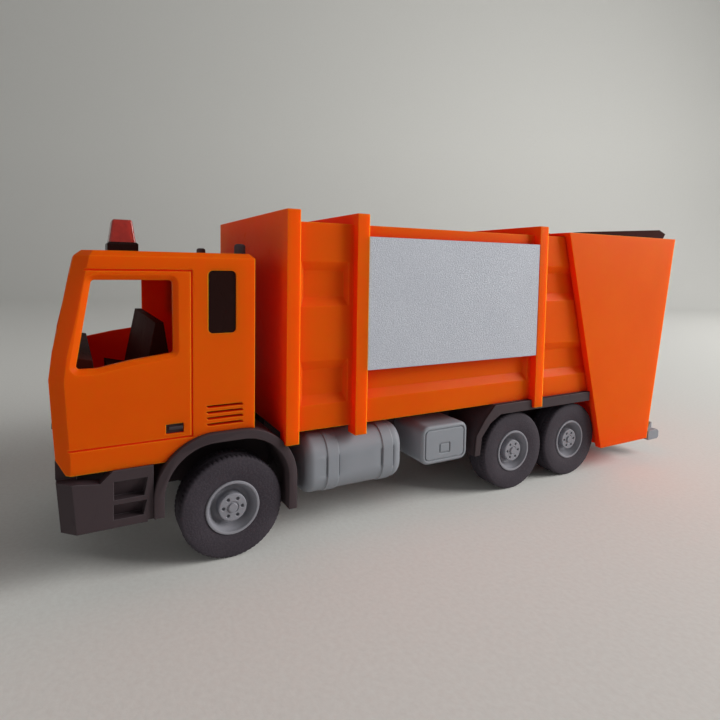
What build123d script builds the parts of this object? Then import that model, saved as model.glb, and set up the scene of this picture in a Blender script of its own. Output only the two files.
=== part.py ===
from build123d import *
import math
import os

# Toy rear-loading refuse truck, moulded plastic, three axles.
# Frame: front faces -Y, left side is +X, +Z is up, floor at Z = 0, origin under the middle of its box.
# Stations run rearwards from the cab's front datum; y(station) turns one into a Y coordinate.
# All lengths are millimetres. Heights are above the floor unless a comment says otherwise.

FIT = 0.1                 # gap at seats that only touch by design

# ---- widths, from the middle plane
CAB_HALF = 28.4           # cab side plane
BUMPER_PROUD = 0.5        # bumper beyond the cab's sides
CAB_PROUD = 0.2           # cab beyond the load box's walls
RIB_PROUD = 2.4           # ribs and tailgate cheeks beyond the walls
ARCH_PROUD = 1.4          # wheel arches and mudguards beyond the walls
WALL_HALF = CAB_HALF - CAB_PROUD       # load box side wall plane
BUMPER_HALF = CAB_HALF + BUMPER_PROUD
RIB_HALF = WALL_HALF + RIB_PROUD
ARCH_OUT = WALL_HALF + ARCH_PROUD
WHEEL_OUT = WALL_HALF     # wheels stand flush with the load box's walls

# ---- wheels and axles
TYRE_R = 11.8
TYRE_W = 7.4
TYRE_SIDES = 60           # facets round each tyre
SHOULDER = 1.0            # tread edge behind the side wall's plane
WALL_R = 9.4              # where the side wall stands out most
WALL_EDGE = 0.8           # the side wall's flat ends this far inside the tread
RIM_R = 6.2
RIM_INSET = 0.1           # rim behind the tyre's outer plane
RIM_W = 6.9
RIM_LIP = 0.55            # width of the bright outer lip
DISH_DEPTH = 2.9
DISH_FLOOR_R = 4.3
HUB_R = 3.2
HUB_BOSS_R = 1.1
HUB_BOSS_H = 0.35
HUB_SINK = 0.4            # hub face behind the tyre's outer plane
STUD_R = 0.34             # round pockets in the hub face
STUD_DEPTH = 0.6
STUD_CIRCLE_R = 2.15
STUD_COUNT = 6
AXLE_R = 1.2
AXLE_GAP = 0.05           # radial running clearance in the carriers
AXLE_SEAT = 5.6           # how deep each axle end sits in its wheel
AXLES = (("front", 32.1), ("middle", 118.3), ("rear", 143.2))   # name, station

# ---- front arch
ARCH_FRONT = 15.0         # outer face of the front leg
ARCH_REAR = 47.1          # outer face of the rear leg
ARCH_TOP = 30.0
ARCH_T = 2.1
ARCH_R = 13.0             # outer corner radius
ARCH_LEG_FRONT_Z = 13.4
ARCH_LEG_REAR_Z = 9.3

# ---- cab
CAB_REAR = 36.9
CAB_ROOF_Z = 69.5
CAB_FLOOR_Z = 24.9        # lower edge of the cab's skirt
CAB_WALL = 1.8
CAB_CORNER = 2.7          # chamfer between the front and the sides
CAB_ROOF_EDGE = 1.1       # chamfer round the roof
# front outline, from the roof down: station, height
CAB_FRONT = ((1.2, CAB_ROOF_Z), (0.2, CAB_ROOF_Z - 4.4), (-1.65, 55.7), (-3.1, 49.4), (-3.8, 43.9),
             (-3.35, 35.2), (-2.9, 27.8), (-1.1, CAB_FLOOR_Z))
NOSE = min(station for station, _ in CAB_FRONT)
SCREEN_HALF = 23.4        # windscreen: half width, sill and top
SCREEN_Z = (48.8, CAB_ROOF_Z - 5.0)
SCREEN_ROUND = 1.5
# side window outline: station, height
SIDE_WINDOW = ((0.9, 45.9), (4.7, 45.9), (10.9, 47.1), (19.3, 48.2), (19.2, CAB_ROOF_Z - 5.9),
               (3.9, CAB_ROOF_Z - 5.9))
WINDOW_ROUND = 0.7
WINDOW_FRAME = 1.1        # width of the bevelled frame round the side window
FRAME_DEPTH = 0.7
SEAM = 0.45               # width and depth of the door's seam
DOOR_FRONT = -0.3         # door seams: front end, rear line, upper line and lower line
DOOR_REAR = 22.8
DOOR_TOP = CAB_ROOF_Z - 4.1
DOOR_FOOT = 29.65
QUARTER = (26.5, 32.6, 52.0, CAB_ROOF_Z - 3.8)     # rear side window: station from, to, height from, to
QUARTER_SINK = 0.9
QUARTER_ROUND = 1.0
HANDLE = (17.6, 21.3, 30.9, 33.0)      # handle pocket: station from, to, height from, to
HANDLE_SINK = 1.0
HANDLE_BAR = 0.6          # height of the grip bar
VENT = (26.0, 34.4)       # louvres: station from, to
VENT_Z = (35.5, 34.2, 32.9, 31.5)
VENT_H = 0.6
GRILLE = (17.5, 30.0, 42.6)            # half width, height from, to
GRILLE_SINK = 0.9
GRILLE_SLATS = 5
SLAT_H = 1.0

# ---- cab interior
DECK_T = 1.6              # inner floor, laid over the arches
DECK_Z = ARCH_TOP + DECK_T
# dash and bench outlines: station, height above the inner floor
DASH = ((-1.0, 0.0), (5.0, 0.0), (5.0, 8.4), (4.1, 15.4), (0.4, 16.2), (-1.0, 15.8))
DASH_SIDE = 2.6           # inner floor and dash clear of the side walls
BENCH = ((8.6, 0.0), (8.4, 8.6), (13.7, 7.4), (16.7, 22.4), (18.4, 22.4), (20.3, 10.0), (20.3, 0.0))
BENCH_SIDE = 5.8          # bench clear of the side walls

# ---- bumper
BUMPER_Z = (13.0, CAB_FLOOR_Z)
BUMPER_FRONT = (-2.15, -3.0)           # front face: station at the foot, at the top
BUMPER_WALL = 3.0
BUMPER_CORNER = 2.8
BUMPER_LIP = 1.2          # depth of the rear flange's relief over the arch
BUMPER_TIP_Z = 27.0       # front wall's lip, under the cab's turned-in foot
NOTCH_X = 24.5            # the corner is lowered outside this |x|
# lowered corner's top edge: station, depth below the bumper's top
NOTCH = ((0.7, 1.7), (4.9, 2.3), (7.3, 0.0))
# step pockets: station from, to, height from, to
STEPS = ((7.4, 13.2, 18.8, 22.6), (7.3, 13.0, 14.7, 17.8))
STEP_DEPTH = 2.5          # at a pocket's foot
STEP_LEAN = 1.7           # the pocket's back comes forward this far at its top
STEP_SLANT = 0.7          # upper rear corner behind the lower one
LAMP = (15.0, 22.0, 16.6, 20.6)        # head lamp: |x| from, to, height from, to
LAMP_SINK = 1.2
LAMP_PROUD = 0.9          # lamp blocks above their pockets' floors

# ---- roof fittings
BEACON_S = 11.7
BEACON_BASE = (6.9, 8.4, 2.6)          # length, width, height
BEACON_FOOT = (6.0, 7.4)               # lens: length and width at the bottom
BEACON_TOP = (4.6, 5.8)
BEACON_LENS_H = 5.5
BEACON_EDGE = 0.8
PEG_R = 1.3
PEG_H = 2.4
PEG_EDGE = 0.6
PEG_X = 21.0
PEG_IN = 1.4              # peg's middle in front of the cab's rear

# ---- chassis
RAIL_IN = 10.5
RAIL_OUT = 14.5
RAIL_Z0 = 15.0
RAIL_Z1 = 24.5
RAIL_FRONT = BUMPER_FRONT[0] + BUMPER_WALL + FIT
RAIL_REAR = 151.0
CARRIER_HALF = 3.2
CARRIER_Z0 = 9.4
CROSS_HALF = 2.5
CROSS_Z0 = 17.0
CROSS_Z1 = 22.0
CROSS_STATIONS = (6.0, 50.0, 77.0, 102.0, 130.2, 147.5)
CAB_MOUNTS = ((2.0, 12.0), (32.0, CAB_REAR - CAB_WALL - FIT))      # station from, to

# ---- load box
BOX_GAP = 6.9             # between the cab and the box's front wall
BOX_FRONT = CAB_REAR + BOX_GAP
BOX_WALL = 1.7
BOX_FLOOR_Z = 27.3
BOX_ROOF_Z = 77.4
RIB_W = 3.2
RIB_RISE = 2.6            # ribs above the roof
RIB_DROP = 2.2            # ribs' feet below the floor
RIB_FOOT_IN = 4.0         # how far a foot turns in under the floor
# front faces of the ribs; the first is flush with the front wall
RIB_STATIONS = (BOX_FRONT, BOX_FRONT + 18.2, BOX_FRONT + 80.1)
RIB_EDGE = 0.25
CHANNEL_DEPTH = 1.2
CHANNEL_MOUTH = 10.8      # height of a pressed channel at the wall's face
CHANNEL_BED = 6.3         # and at its bed
CHANNEL_HEIGHTS = (35.5, 11.5)         # middles above the floor
CHANNEL_END = 1.2         # a channel ends this far from a rib
CHANNEL_RUN = 0.9         # length of its slanted end
SIGN_DROP = 2.9           # board's top edge below the roof
SIGN_H = 33.3
SIGN_BACK = 0.1           # board's face behind the ribs' faces

# ---- tailgate
GATE_GAP = 0.2            # between the box's roof and the gate's
GATE_ROOF_T = 1.1
GATE_TOP_Z = BOX_ROOF_Z + GATE_GAP + GATE_ROOF_T
GATE_FOOT_Z = 7.7
GATE_SET = 9.4            # gate's upper front corner behind the third rib
GATE_FRONT_TOP = RIB_STATIONS[2] + RIB_W + GATE_SET
GATE_FRONT_FOOT = GATE_FRONT_TOP + 19.1
GATE_REAR_TOP = GATE_FRONT_TOP + 54.7
GATE_REAR_FOOT = GATE_FRONT_FOOT + 24.6
GATE_WALL = 2.1
GATE_SIDE_GAP = 0.3       # between a cheek and the box's wall
GATE_LAP = 3.2            # how far the box reaches into the gate
GATE_FLOOR_T = 1.8
GATE_SHELF_DROP = 2.0     # top of the hopper's front wall below the box's floor
GATE_FRONT_WALL_IN = 2.8  # the hopper's front wall stands this far behind the cheeks' edge
MOUTH_HALF = 23.0
MOUTH_Z = (25.0, 56.0)
MOUTH_ROUND = 2.0
PIN_R = 0.8
PIN_GAP = 0.05
HINGE_R = 1.5
HINGE_Z = BOX_ROOF_Z + GATE_GAP + HINGE_R
HINGE_S = GATE_FRONT_TOP + 0.4
HINGE_LEAF = 4.5          # length of a gate leaf behind the pin
HINGE_X = (8.0, 11.0, 11.2, 14.2)      # |x|: box leaf from, to, gate leaf from, to

# ---- guard frame on the tailgate's roof
ARM_X = (25.0, 27.0)
ARM_GAP = 0.3             # under the frame
ARM_UNDER = GATE_TOP_Z + ARM_GAP
ARM_TIP_T = 0.5           # arm's height at its front end
ARM_RISE = 3.0            # arm's height at its rear end
ARM_REAR = GATE_REAR_TOP - 0.3
ARM_SLOPE = (3.5, 1.3)    # sloped rear end: length, drop
ARM_HEEL = 1.2            # the foot of the arm's end is this far in
ARM_BAR_LEN = 3.5         # rear crossbar
ARM_BAR_T = 1.8
YOKE_LEN = 3.0            # front crossbar
YOKE_T = 1.1
YOKE_FLAT = 10.0          # |x| where the front crossbar starts to thin
YOKE_THIN = 12.0          # |x| from where it is as thin as the arms' tips
EYE_R = 1.15
EYE_PIN_R = 0.55
EYE_X = (5.0, 7.0)        # |x| of the frame's eyes
EAR_T = 1.8               # gate's ears on both sides of each eye
EYE_SIDE_GAP = 0.2
EYE_S = GATE_FRONT_TOP + 10.4
EYE_Z = GATE_TOP_Z + 1.3

# ---- bin lift at the rear foot
LIFT_EYE_R = 1.6
LIFT_S = GATE_REAR_FOOT + 2.6
LIFT_Z = GATE_FOOT_Z + 0.7
LIFT_BASE_T = 1.7
LIFT_BASE_LEN = 10.0
LIFT_BASE_OUT = 0.8       # base plate behind the hopper's foot
LIFT_BASE_HALF = 26.0
LIFT_LUGS = (8.0, 20.0)   # |x| of the fixed lugs' middles
LIFT_LUG_T = 2.2
LIFT_SIDE_GAP = 0.2
LIFT_BAR_SET = 2.6        # bar behind the pin
LIFT_BAR_LEN = 6.1
LIFT_BAR_DROP = 3.0       # bar's underside below the pin
LIFT_BAR_H = 3.4
LIFT_BAR_HALF = 28.0
LIFT_BAR_EDGE = 0.8
LIFT_TEETH = 11
TOOTH_H = 2.2
TOOTH_W = 2.6
TOOTH_MARGIN = 3.5        # first tooth's middle from the bar's end

# ---- tank, tool box and rear mudguard
SIDE_IN = RAIL_OUT + 0.2  # side pieces start here, beside the rails
TANK_OUT = CAB_HALF + 0.5
TANK_S = (ARCH_REAR + 0.2, ARCH_REAR + 30.3)
TANK_Z = (10.2, 25.2)
TANK_ROUND = 5.6
TANK_EDGE = 0.8
STRAP_STARTS = (TANK_S[0] + 8.1, TANK_S[0] + 23.9)
STRAP_W = 3.0
STRAP_T = 0.25
GROOVE = 0.35             # groove beside a strap, on the upright face
GROOVE_DEPTH = 0.5
GROOVE_FOOT = 2.6         # grooves start this far above the tank's foot
TOOL_S = (TANK_S[1] + 7.5, TANK_S[1] + 21.9)
TOOL_Z = (12.9, 23.7)
TOOL_ROUND = 2.0          # corners of the front
TOOL_EDGE = 0.5           # chamfer round the front
TOOL_SEAM = (1.4, 0.3, 0.4)            # door seam: margin, width, depth
LATCH = (5.2, 3.4, 2.5, 2.6)           # from the box's front, length, above its foot, height
GUARD_T = 1.5
# mudguard's outer line: station ahead of the middle axle, height
GUARD_LINE = ((16.7, 13.1), (16.2, 19.0), (13.0, 23.5), (9.3, BOX_FLOOR_Z))
GUARD_TAIL = 6.9          # mudguard's rear end behind the rear axle

MIDDLE = (NOSE + LIFT_S + LIFT_BAR_SET + LIFT_BAR_LEN) / 2


def y(station):
    """Y coordinate of a station."""
    return station - MIDDLE


def box(x0, x1, s0, s1, z0, z1):
    """Block between two x, two stations and two heights."""
    return Pos((x0 + x1) / 2, (y(s0) + y(s1)) / 2, (z0 + z1) / 2) * Box(abs(x1 - x0), s1 - s0, z1 - z0)


def side_face(points, x):
    """Face in a plane of constant x from (station, height) points."""
    return make_face(Plane.YZ.offset(x) * Polyline(*[(y(s), z) for s, z in points], close=True))


def side_prism(points, x0, x1):
    """Solid between x0 and x1 on a side outline of (station, height) points."""
    return extrude(side_face(points, x0), amount=x1 - x0, dir=(1, 0, 0))


def cross_prism(points, s0, s1):
    """Solid from station s0 to s1 on a cross section of (x, height) points."""
    plane = Plane(origin=(0, y(s0), 0), x_dir=(1, 0, 0), z_dir=(0, -1, 0))
    return extrude(make_face(plane * Polyline(*points, close=True)), amount=s1 - s0, dir=(0, 1, 0))


def bar_x(station, z, r, x0, x1):
    """Round bar along X."""
    return Pos((x0 + x1) / 2, y(station), z) * Rot(0, 90, 0) * Cylinder(r, abs(x1 - x0))


def both(solid):
    """The piece and its mirror image, as one compound."""
    return solid + mirror(solid, Plane.YZ)


def raised(points, z):
    """Outline points with their heights counted from z."""
    return [(s, h + z) for s, h in points]


def save(name, shape):
    export_step(shape, "parts/" + name + ".step")


# ------------------------------------------------------------------ wheels and axles
def tyre(station):
    """Left tyre: a many-sided ring with bulged side walls and square shoulders, made of flat facets."""
    # depth behind the outer plane, radius
    half = ((0.4, RIM_R), (0.0, WALL_R), (0.2, TYRE_R - WALL_EDGE), (SHOULDER, TYRE_R))
    profile = half + tuple((TYRE_W - depth, radius) for depth, radius in reversed(half))
    corner = 1 / math.cos(math.pi / TYRE_SIDES)        # from a facet's flat to its corner
    turns = [2 * math.pi * (k + 0.5) / TYRE_SIDES for k in range(TYRE_SIDES)]
    rings = [[(WHEEL_OUT - depth, y(station) + radius * corner * math.cos(turn),
               TYRE_R + radius * corner * math.sin(turn)) for turn in turns] for depth, radius in profile]
    facets = []
    for ring, following in zip(rings, rings[1:] + rings[:1]):
        for k in range(TYRE_SIDES):
            facets.append(Face(Wire.make_polygon([ring[k - 1], ring[k], following[k], following[k - 1]])))
    return Solid(Shell(facets))


def rim(station):
    """Left rim: bright lip, deep conical dish, hub drum with round pockets and a centre boss."""
    back, seat = RIM_INSET + RIM_W, RIM_INSET + RIM_W - AXLE_SEAT
    # depth behind the outer plane, radius
    profile = ((HUB_SINK - HUB_BOSS_H, 0), (HUB_SINK - HUB_BOSS_H, HUB_BOSS_R), (HUB_SINK, HUB_BOSS_R),
               (HUB_SINK, HUB_R), (DISH_DEPTH, HUB_R), (DISH_DEPTH, DISH_FLOOR_R),
               (RIM_INSET, RIM_R - RIM_LIP), (RIM_INSET, RIM_R), (back, RIM_R), (back, AXLE_R),
               (seat, AXLE_R), (seat, 0))
    face = make_face(Polyline(*[(WHEEL_OUT - depth, radius) for depth, radius in profile], close=True))
    solid = revolve(face, Axis.X)
    for k in range(STUD_COUNT):
        angle = math.radians(360 / STUD_COUNT * k)
        stud = Pos(0, STUD_CIRCLE_R * math.cos(angle), STUD_CIRCLE_R * math.sin(angle))
        solid -= stud * Pos(WHEEL_OUT - HUB_SINK, 0, 0) * Rot(0, 90, 0) * Cylinder(STUD_R, 2 * STUD_DEPTH)
    return Pos(0, y(station), TYRE_R) * solid


def axle(station):
    """Plain steel axle that ends inside both hubs."""
    half = WHEEL_OUT - RIM_INSET - RIM_W + AXLE_SEAT
    return bar_x(station, TYRE_R, AXLE_R, -half, half)


# ------------------------------------------------------------------ chassis
def chassis():
    """Two rails with crossmembers, axle carriers below, cab mounts in front and a bed for the load box."""
    solid = box(RAIL_IN, RAIL_OUT, RAIL_FRONT, RAIL_REAR, RAIL_Z0, RAIL_Z1)
    solid += box(RAIL_IN, RAIL_OUT, RIB_STATIONS[0], RAIL_REAR, RAIL_Z1 - 1, BOX_FLOOR_Z)
    for s0, s1 in CAB_MOUNTS:
        solid += box(RAIL_IN, RAIL_OUT, s0, s1, RAIL_Z1 - 1, ARCH_TOP)
    for _, station in AXLES:
        solid += box(RAIL_IN, RAIL_OUT, station - CARRIER_HALF, station + CARRIER_HALF, CARRIER_Z0,
                     RAIL_Z0 + 1)
    solid = both(solid)
    for station in CROSS_STATIONS:
        solid += box(-RAIL_IN - 1, RAIL_IN + 1, station - CROSS_HALF, station + CROSS_HALF, CROSS_Z0,
                     CROSS_Z1)
    for _, station in AXLES:
        solid -= bar_x(station, TYRE_R, AXLE_R + AXLE_GAP, -RAIL_OUT - 1, RAIL_OUT + 1)
    return solid


# ------------------------------------------------------------------ cab
def cab_outline(inset=0.0):
    """Side outline of the cab, moved in by the wall for the hollow."""
    front = [(s + inset * 1.05, z) for s, z in CAB_FRONT]
    front[0] = (CAB_FRONT[0][0] + inset, CAB_ROOF_Z - inset)
    front[-1] = (CAB_FRONT[-1][0] + inset, CAB_FLOOR_Z - (1.0 if inset else 0.0))
    rear = CAB_REAR - inset
    return front + [(rear, front[-1][1]), (rear, front[0][1])]


def arch_shape(grow, x0, x1, foot):
    """Rounded arch over the front wheel: the outer line moved out by grow, down to a foot height."""
    solid = box(x0, x1, ARCH_FRONT - grow, ARCH_REAR + grow, foot, ARCH_TOP + grow)
    return fillet(solid.edges().filter_by(Axis.X).group_by(Axis.Z)[-1], ARCH_R + grow)


def cab_shell():
    """Hollow cab: chamfered corners and roof, windscreen and side windows cut, seams, pockets and louvres."""
    front_of_roof = y(CAB_FRONT[0][0])
    (foot_s, foot_z), (chin_s, chin_z) = CAB_FRONT[-1], CAB_FRONT[-2]
    outline = cab_outline()
    outline[len(CAB_FRONT) - 1] = (chin_s, foot_z)
    solid = side_prism(outline, -CAB_HALF, CAB_HALF)
    corner = solid.edges().filter_by(lambda e: abs(abs(e.center().X) - CAB_HALF) < 0.01
                                     and e.center().Y < front_of_roof and e.center().Z > CAB_FLOOR_Z + 0.1)
    solid = chamfer(corner, CAB_CORNER)
    solid = chamfer(solid.edges().group_by(Axis.Z)[-1], CAB_ROOF_EDGE)
    solid -= side_prism(((chin_s, chin_z), (foot_s, foot_z), (foot_s, foot_z - 1), (NOSE - 1, foot_z - 1),
                         (NOSE - 1, chin_z)), -CAB_HALF - 1, CAB_HALF + 1)
    hollow = side_prism(cab_outline(CAB_WALL), -CAB_HALF + CAB_WALL, CAB_HALF - CAB_WALL)
    corner = hollow.edges().filter_by(lambda e: abs(abs(e.center().X) - CAB_HALF + CAB_WALL) < 0.01
                                      and e.center().Y < front_of_roof + CAB_WALL
                                      and e.center().Z > CAB_FLOOR_Z + 0.1)
    solid -= chamfer(corner, CAB_CORNER * 0.8)
    solid -= arch_shape(FIT, -CAB_HALF - 1, CAB_HALF + 1, 0)
    screen = box(-SCREEN_HALF, SCREEN_HALF, NOSE - 3, CAB_FRONT[0][0] + 4, *SCREEN_Z)
    solid -= fillet(screen.edges().filter_by(Axis.Y), SCREEN_ROUND)
    grille_bed = box(-GRILLE[0], GRILLE[0], NOSE - 1, NOSE + GRILLE_SINK, GRILLE[1], GRILLE[2])
    solid -= fillet(grille_bed.edges().filter_by(Axis.Y), 1.0)
    return solid - both(side_cuts())


def side_cuts():
    """Cuts in the cab's left side: window and its frame, door seams, quarter window, handle, louvres."""
    opening = fillet(side_face(SIDE_WINDOW, CAB_HALF).vertices(), WINDOW_ROUND)
    cuts = extrude(opening, amount=2 * CAB_WALL, dir=(1, 0, 0), both=True)
    rim = offset(opening, WINDOW_FRAME)
    cuts += loft([Pos(-FRAME_DEPTH, 0, 0) * opening, rim])
    cuts += extrude(rim, amount=1, dir=(1, 0, 0))
    seam_x = (CAB_HALF - SEAM, CAB_HALF + 1)
    for z in (DOOR_TOP, DOOR_FOOT):
        cuts += box(*seam_x, DOOR_FRONT - 2, DOOR_REAR + SEAM, z, z + SEAM)
    cuts += box(*seam_x, DOOR_REAR, DOOR_REAR + SEAM, DOOR_FOOT, DOOR_TOP)
    pocket = box(CAB_HALF - QUARTER_SINK, CAB_HALF + 1, *QUARTER)
    cuts += fillet(pocket.edges().filter_by(Axis.X), QUARTER_ROUND)
    cuts += box(CAB_HALF - HANDLE_SINK, CAB_HALF + 1, *HANDLE)
    slant = VENT_H * 0.8
    for z in VENT_Z:
        cuts += side_prism(((VENT[0] + slant, z), (VENT[1], z), (VENT[1] - slant, z + VENT_H),
                            (VENT[0], z + VENT_H)), CAB_HALF - CAB_WALL - 0.2, CAB_HALF + 1)
    return cuts


def cab_interior():
    """Black inner moulding: floor, dash and one bench across the cab."""
    half = CAB_HALF - CAB_WALL
    inner = half - DASH_SIDE
    solid = box(-inner, inner, DASH[0][0], CAB_REAR - CAB_WALL - FIT, ARCH_TOP, DECK_Z)
    solid += side_prism(raised(DASH, DECK_Z), -inner, inner)
    return solid + side_prism(raised(BENCH, DECK_Z), -half + BENCH_SIDE, half - BENCH_SIDE)


def quarter_window():
    """Black panel set in the cab side behind the door."""
    panel = box(CAB_HALF - QUARTER_SINK, CAB_HALF - 0.25, *QUARTER)
    return fillet(panel.edges().filter_by(Axis.X), QUARTER_ROUND)


def door_handle():
    """Dark pocket liner with a raised grip bar."""
    s0, s1, z0, z1 = HANDLE
    floor = CAB_HALF - HANDLE_SINK
    solid = box(floor, floor + 0.3, s0, s1, z0, z1)
    return solid + box(floor + 0.2, CAB_HALF + 0.1, s0 + HANDLE_BAR, s1 - HANDLE_BAR / 2,
                       z1 - 2 * HANDLE_BAR, z1 - HANDLE_BAR)


def grille():
    """Radiator panel with level slats, set in the cab's front."""
    half, z0, z1 = GRILLE
    back = NOSE + GRILLE_SINK
    panel = box(-half, half, back - 0.35, back, z0, z1)
    solid = fillet(panel.edges().filter_by(Axis.Y), 1.0)
    pitch = (z1 - z0) / (GRILLE_SLATS + 1)
    for k in range(GRILLE_SLATS):
        z = z0 + pitch * (k + 1)
        solid += box(-half + 1.0, half - 1.0, back - 0.8, back - 0.3, z - SLAT_H / 2, z + SLAT_H / 2)
    return solid


def beacon_base():
    """Black foot of the roof beacon."""
    length, width, height = BEACON_BASE
    solid = box(-width / 2, width / 2, BEACON_S - length / 2, BEACON_S + length / 2, CAB_ROOF_Z,
                CAB_ROOF_Z + height)
    return chamfer(solid.edges().group_by(Axis.Z)[-1], height / 6)


def beacon_lens():
    """Tapered red lens on the beacon's foot."""
    z0 = CAB_ROOF_Z + BEACON_BASE[2]
    low = Plane((0, y(BEACON_S), z0)) * Rectangle(BEACON_FOOT[1], BEACON_FOOT[0])
    high = Plane((0, y(BEACON_S), z0 + BEACON_LENS_H)) * Rectangle(BEACON_TOP[1], BEACON_TOP[0])
    solid = loft([low.face(), high.face()])
    return chamfer(solid.edges().group_by(Axis.Z)[-1], BEACON_EDGE)


def roof_pegs():
    """Two bevelled rubber pegs at the roof's rear corners."""
    peg = Pos(PEG_X, y(CAB_REAR - PEG_IN), CAB_ROOF_Z + PEG_H / 2) * Cylinder(PEG_R, PEG_H)
    return both(chamfer(peg.edges().group_by(Axis.Z)[-1], PEG_EDGE))


def fender():
    """Front arch: a band of even thickness, its rear leg longer than its front one."""
    solid = arch_shape(0, RAIL_OUT, ARCH_OUT, ARCH_LEG_REAR_Z)
    solid -= arch_shape(-ARCH_T, RAIL_OUT - 1, ARCH_OUT + 1, ARCH_LEG_REAR_Z - 1)
    middle = (ARCH_FRONT + ARCH_REAR) / 2
    solid -= box(0, ARCH_OUT + 1, ARCH_FRONT - 1, middle, 0, ARCH_LEG_FRONT_Z)
    return solid - foot_notch(RIB_STATIONS[0])


def bumper():
    """Hollow front bumper: raked face with a lip, chamfered and lowered corners, step and lamp pockets."""
    (z0, z1), (foot, top) = BUMPER_Z, BUMPER_FRONT
    outline = ((foot, z0), (top, z1), (ARCH_FRONT, z1), (ARCH_FRONT, z0))
    solid = side_prism(outline, -BUMPER_HALF, BUMPER_HALF)
    corner = solid.edges().filter_by(lambda e: abs(abs(e.center().X) - BUMPER_HALF) < 0.01
                                     and e.center().Y < y(foot))
    solid = chamfer(corner, BUMPER_CORNER)
    notch = [(s, z1 - drop) for s, drop in NOTCH]
    notch = [(top - 1, notch[0][1])] + notch + [(notch[-1][0], z1 + 1), (top - 1, z1 + 1)]
    solid -= both(side_prism(notch, NOTCH_X, BUMPER_HALF + 1))
    solid += bumper_lip()
    inner = BUMPER_HALF - BUMPER_WALL
    solid -= box(-inner, inner, foot + BUMPER_WALL, ARCH_FRONT + 1, z0 - 1, z1 + 1)
    solid -= box(-BUMPER_HALF - 1, BUMPER_HALF + 1, ARCH_FRONT - BUMPER_LIP, ARCH_FRONT + 1, z0 - 1,
                 ARCH_LEG_FRONT_Z)
    return solid - both(bumper_cuts())


def bumper_lip():
    """Wedge on the bumper's front wall that reaches up in front of the cab's turned-in foot."""
    (foot_s, foot_z), (chin_s, chin_z) = CAB_FRONT[-1], CAB_FRONT[-2]
    share = (BUMPER_TIP_Z - foot_z) / (chin_z - foot_z)
    tip = foot_s + share * (chin_s - foot_s)
    front, z1 = BUMPER_FRONT[1], BUMPER_Z[1]
    root = z1 - BUMPER_WALL / 2
    return side_prism(((front, root), (front, BUMPER_TIP_Z), (tip - FIT, BUMPER_TIP_Z), (foot_s - FIT, z1),
                       (foot_s - FIT, root)), -NOTCH_X, NOTCH_X)


def bumper_cuts():
    """Step pockets in the bumper's left side and the left lamp pocket."""
    cuts = box(LAMP[0], LAMP[1], min(BUMPER_FRONT) - 1, min(BUMPER_FRONT) + LAMP_SINK, LAMP[2], LAMP[3])
    for s0, s1, z0, z1 in STEPS:
        outline = ((s0, z0), (s1, z0), (s1 + STEP_SLANT, z1), (s0, z1))
        pocket = side_prism(outline, BUMPER_HALF - STEP_DEPTH, BUMPER_HALF + 1)
        back = BUMPER_HALF - STEP_DEPTH
        lean = ((back - 1, z0), (back, z0), (back + STEP_LEAN, z1), (back - 1, z1))
        cuts += pocket - cross_prism(lean, s0 - 1, s1 + 2)
    return cuts


def head_lamps():
    """Pale lamp blocks in the bumper's pockets."""
    floor = min(BUMPER_FRONT) + LAMP_SINK
    return both(box(LAMP[0], LAMP[1], floor - LAMP_PROUD, floor, LAMP[2], LAMP[3]))


# ------------------------------------------------------------------ load box
def channel(s0, s1, height, inset):
    """Pressed channel of the left wall, sloped on all sides, its mouth in the plane of the wall moved in."""
    mouth = WALL_HALF - inset
    bed, z = mouth - CHANNEL_DEPTH, BOX_FLOOR_Z + height
    section = ((mouth, z + CHANNEL_MOUTH / 2), (bed, z + CHANNEL_BED / 2), (bed, z - CHANNEL_BED / 2),
               (mouth, z - CHANNEL_MOUTH / 2))
    plan = ((mouth, y(s0)), (bed, y(s0 + CHANNEL_RUN)), (bed, y(s1 - CHANNEL_RUN)), (mouth, y(s1)))
    ends = extrude(make_face(Plane.XY * Polyline(*plan, close=True)), amount=BOX_ROOF_Z)
    return cross_prism(section, s0, s1) & ends


def channels(rear, inset):
    """All channels of both walls, one above the other in each bay; the last bay's run out at the rear."""
    starts = [station + RIB_W + CHANNEL_END for station in RIB_STATIONS]
    ends = [station - CHANNEL_END for station in RIB_STATIONS[1:]] + [rear]
    left = [channel(s0, s1, height, inset) for s0, s1 in zip(starts, ends) for height in CHANNEL_HEIGHTS]
    return both(left[0] + left[1:])


def gate_line(z, shift=0.0):
    """Station of the tailgate's slanted front edge at a height."""
    share = (GATE_TOP_Z - z) / (GATE_TOP_Z - GATE_FOOT_Z)
    return GATE_FRONT_TOP + share * (GATE_FRONT_FOOT - GATE_FRONT_TOP) + shift


def rib(station):
    """Channel rib that wraps round the load box, its feet turned in under the floor."""
    inner = RIB_HALF - RIB_FOOT_IN
    band = box(-RIB_HALF, RIB_HALF, station, station + RIB_W, BOX_FLOOR_Z - RIB_DROP, BOX_ROOF_Z + RIB_RISE)
    band = chamfer(band.edges().filter_by(Axis.Y).group_by(Axis.Z)[-1], RIB_EDGE)
    return band - box(-inner, inner, station - 1, station + RIB_W + 1, BOX_FLOOR_Z - RIB_DROP - 1,
                      BOX_FLOOR_Z)


def foot_notch(station):
    """Room that the pieces below leave for the left foot of the rib at a station."""
    return box(RIB_HALF - RIB_FOOT_IN - FIT, RIB_HALF, station - FIT, station + RIB_W + FIT,
               BOX_FLOOR_Z - RIB_DROP - FIT, BOX_FLOOR_Z + FIT)


def hinge_leaf(x0, x1, s0, s1):
    """Flat leaf with a round eye on the roof hinge's axis."""
    leaf = bar_x(HINGE_S, HINGE_Z, HINGE_R, x0, x1)
    return leaf + box(x0, x1, s0, s1, BOX_ROOF_Z - 0.3, HINGE_Z + HINGE_R - 0.6)


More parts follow.
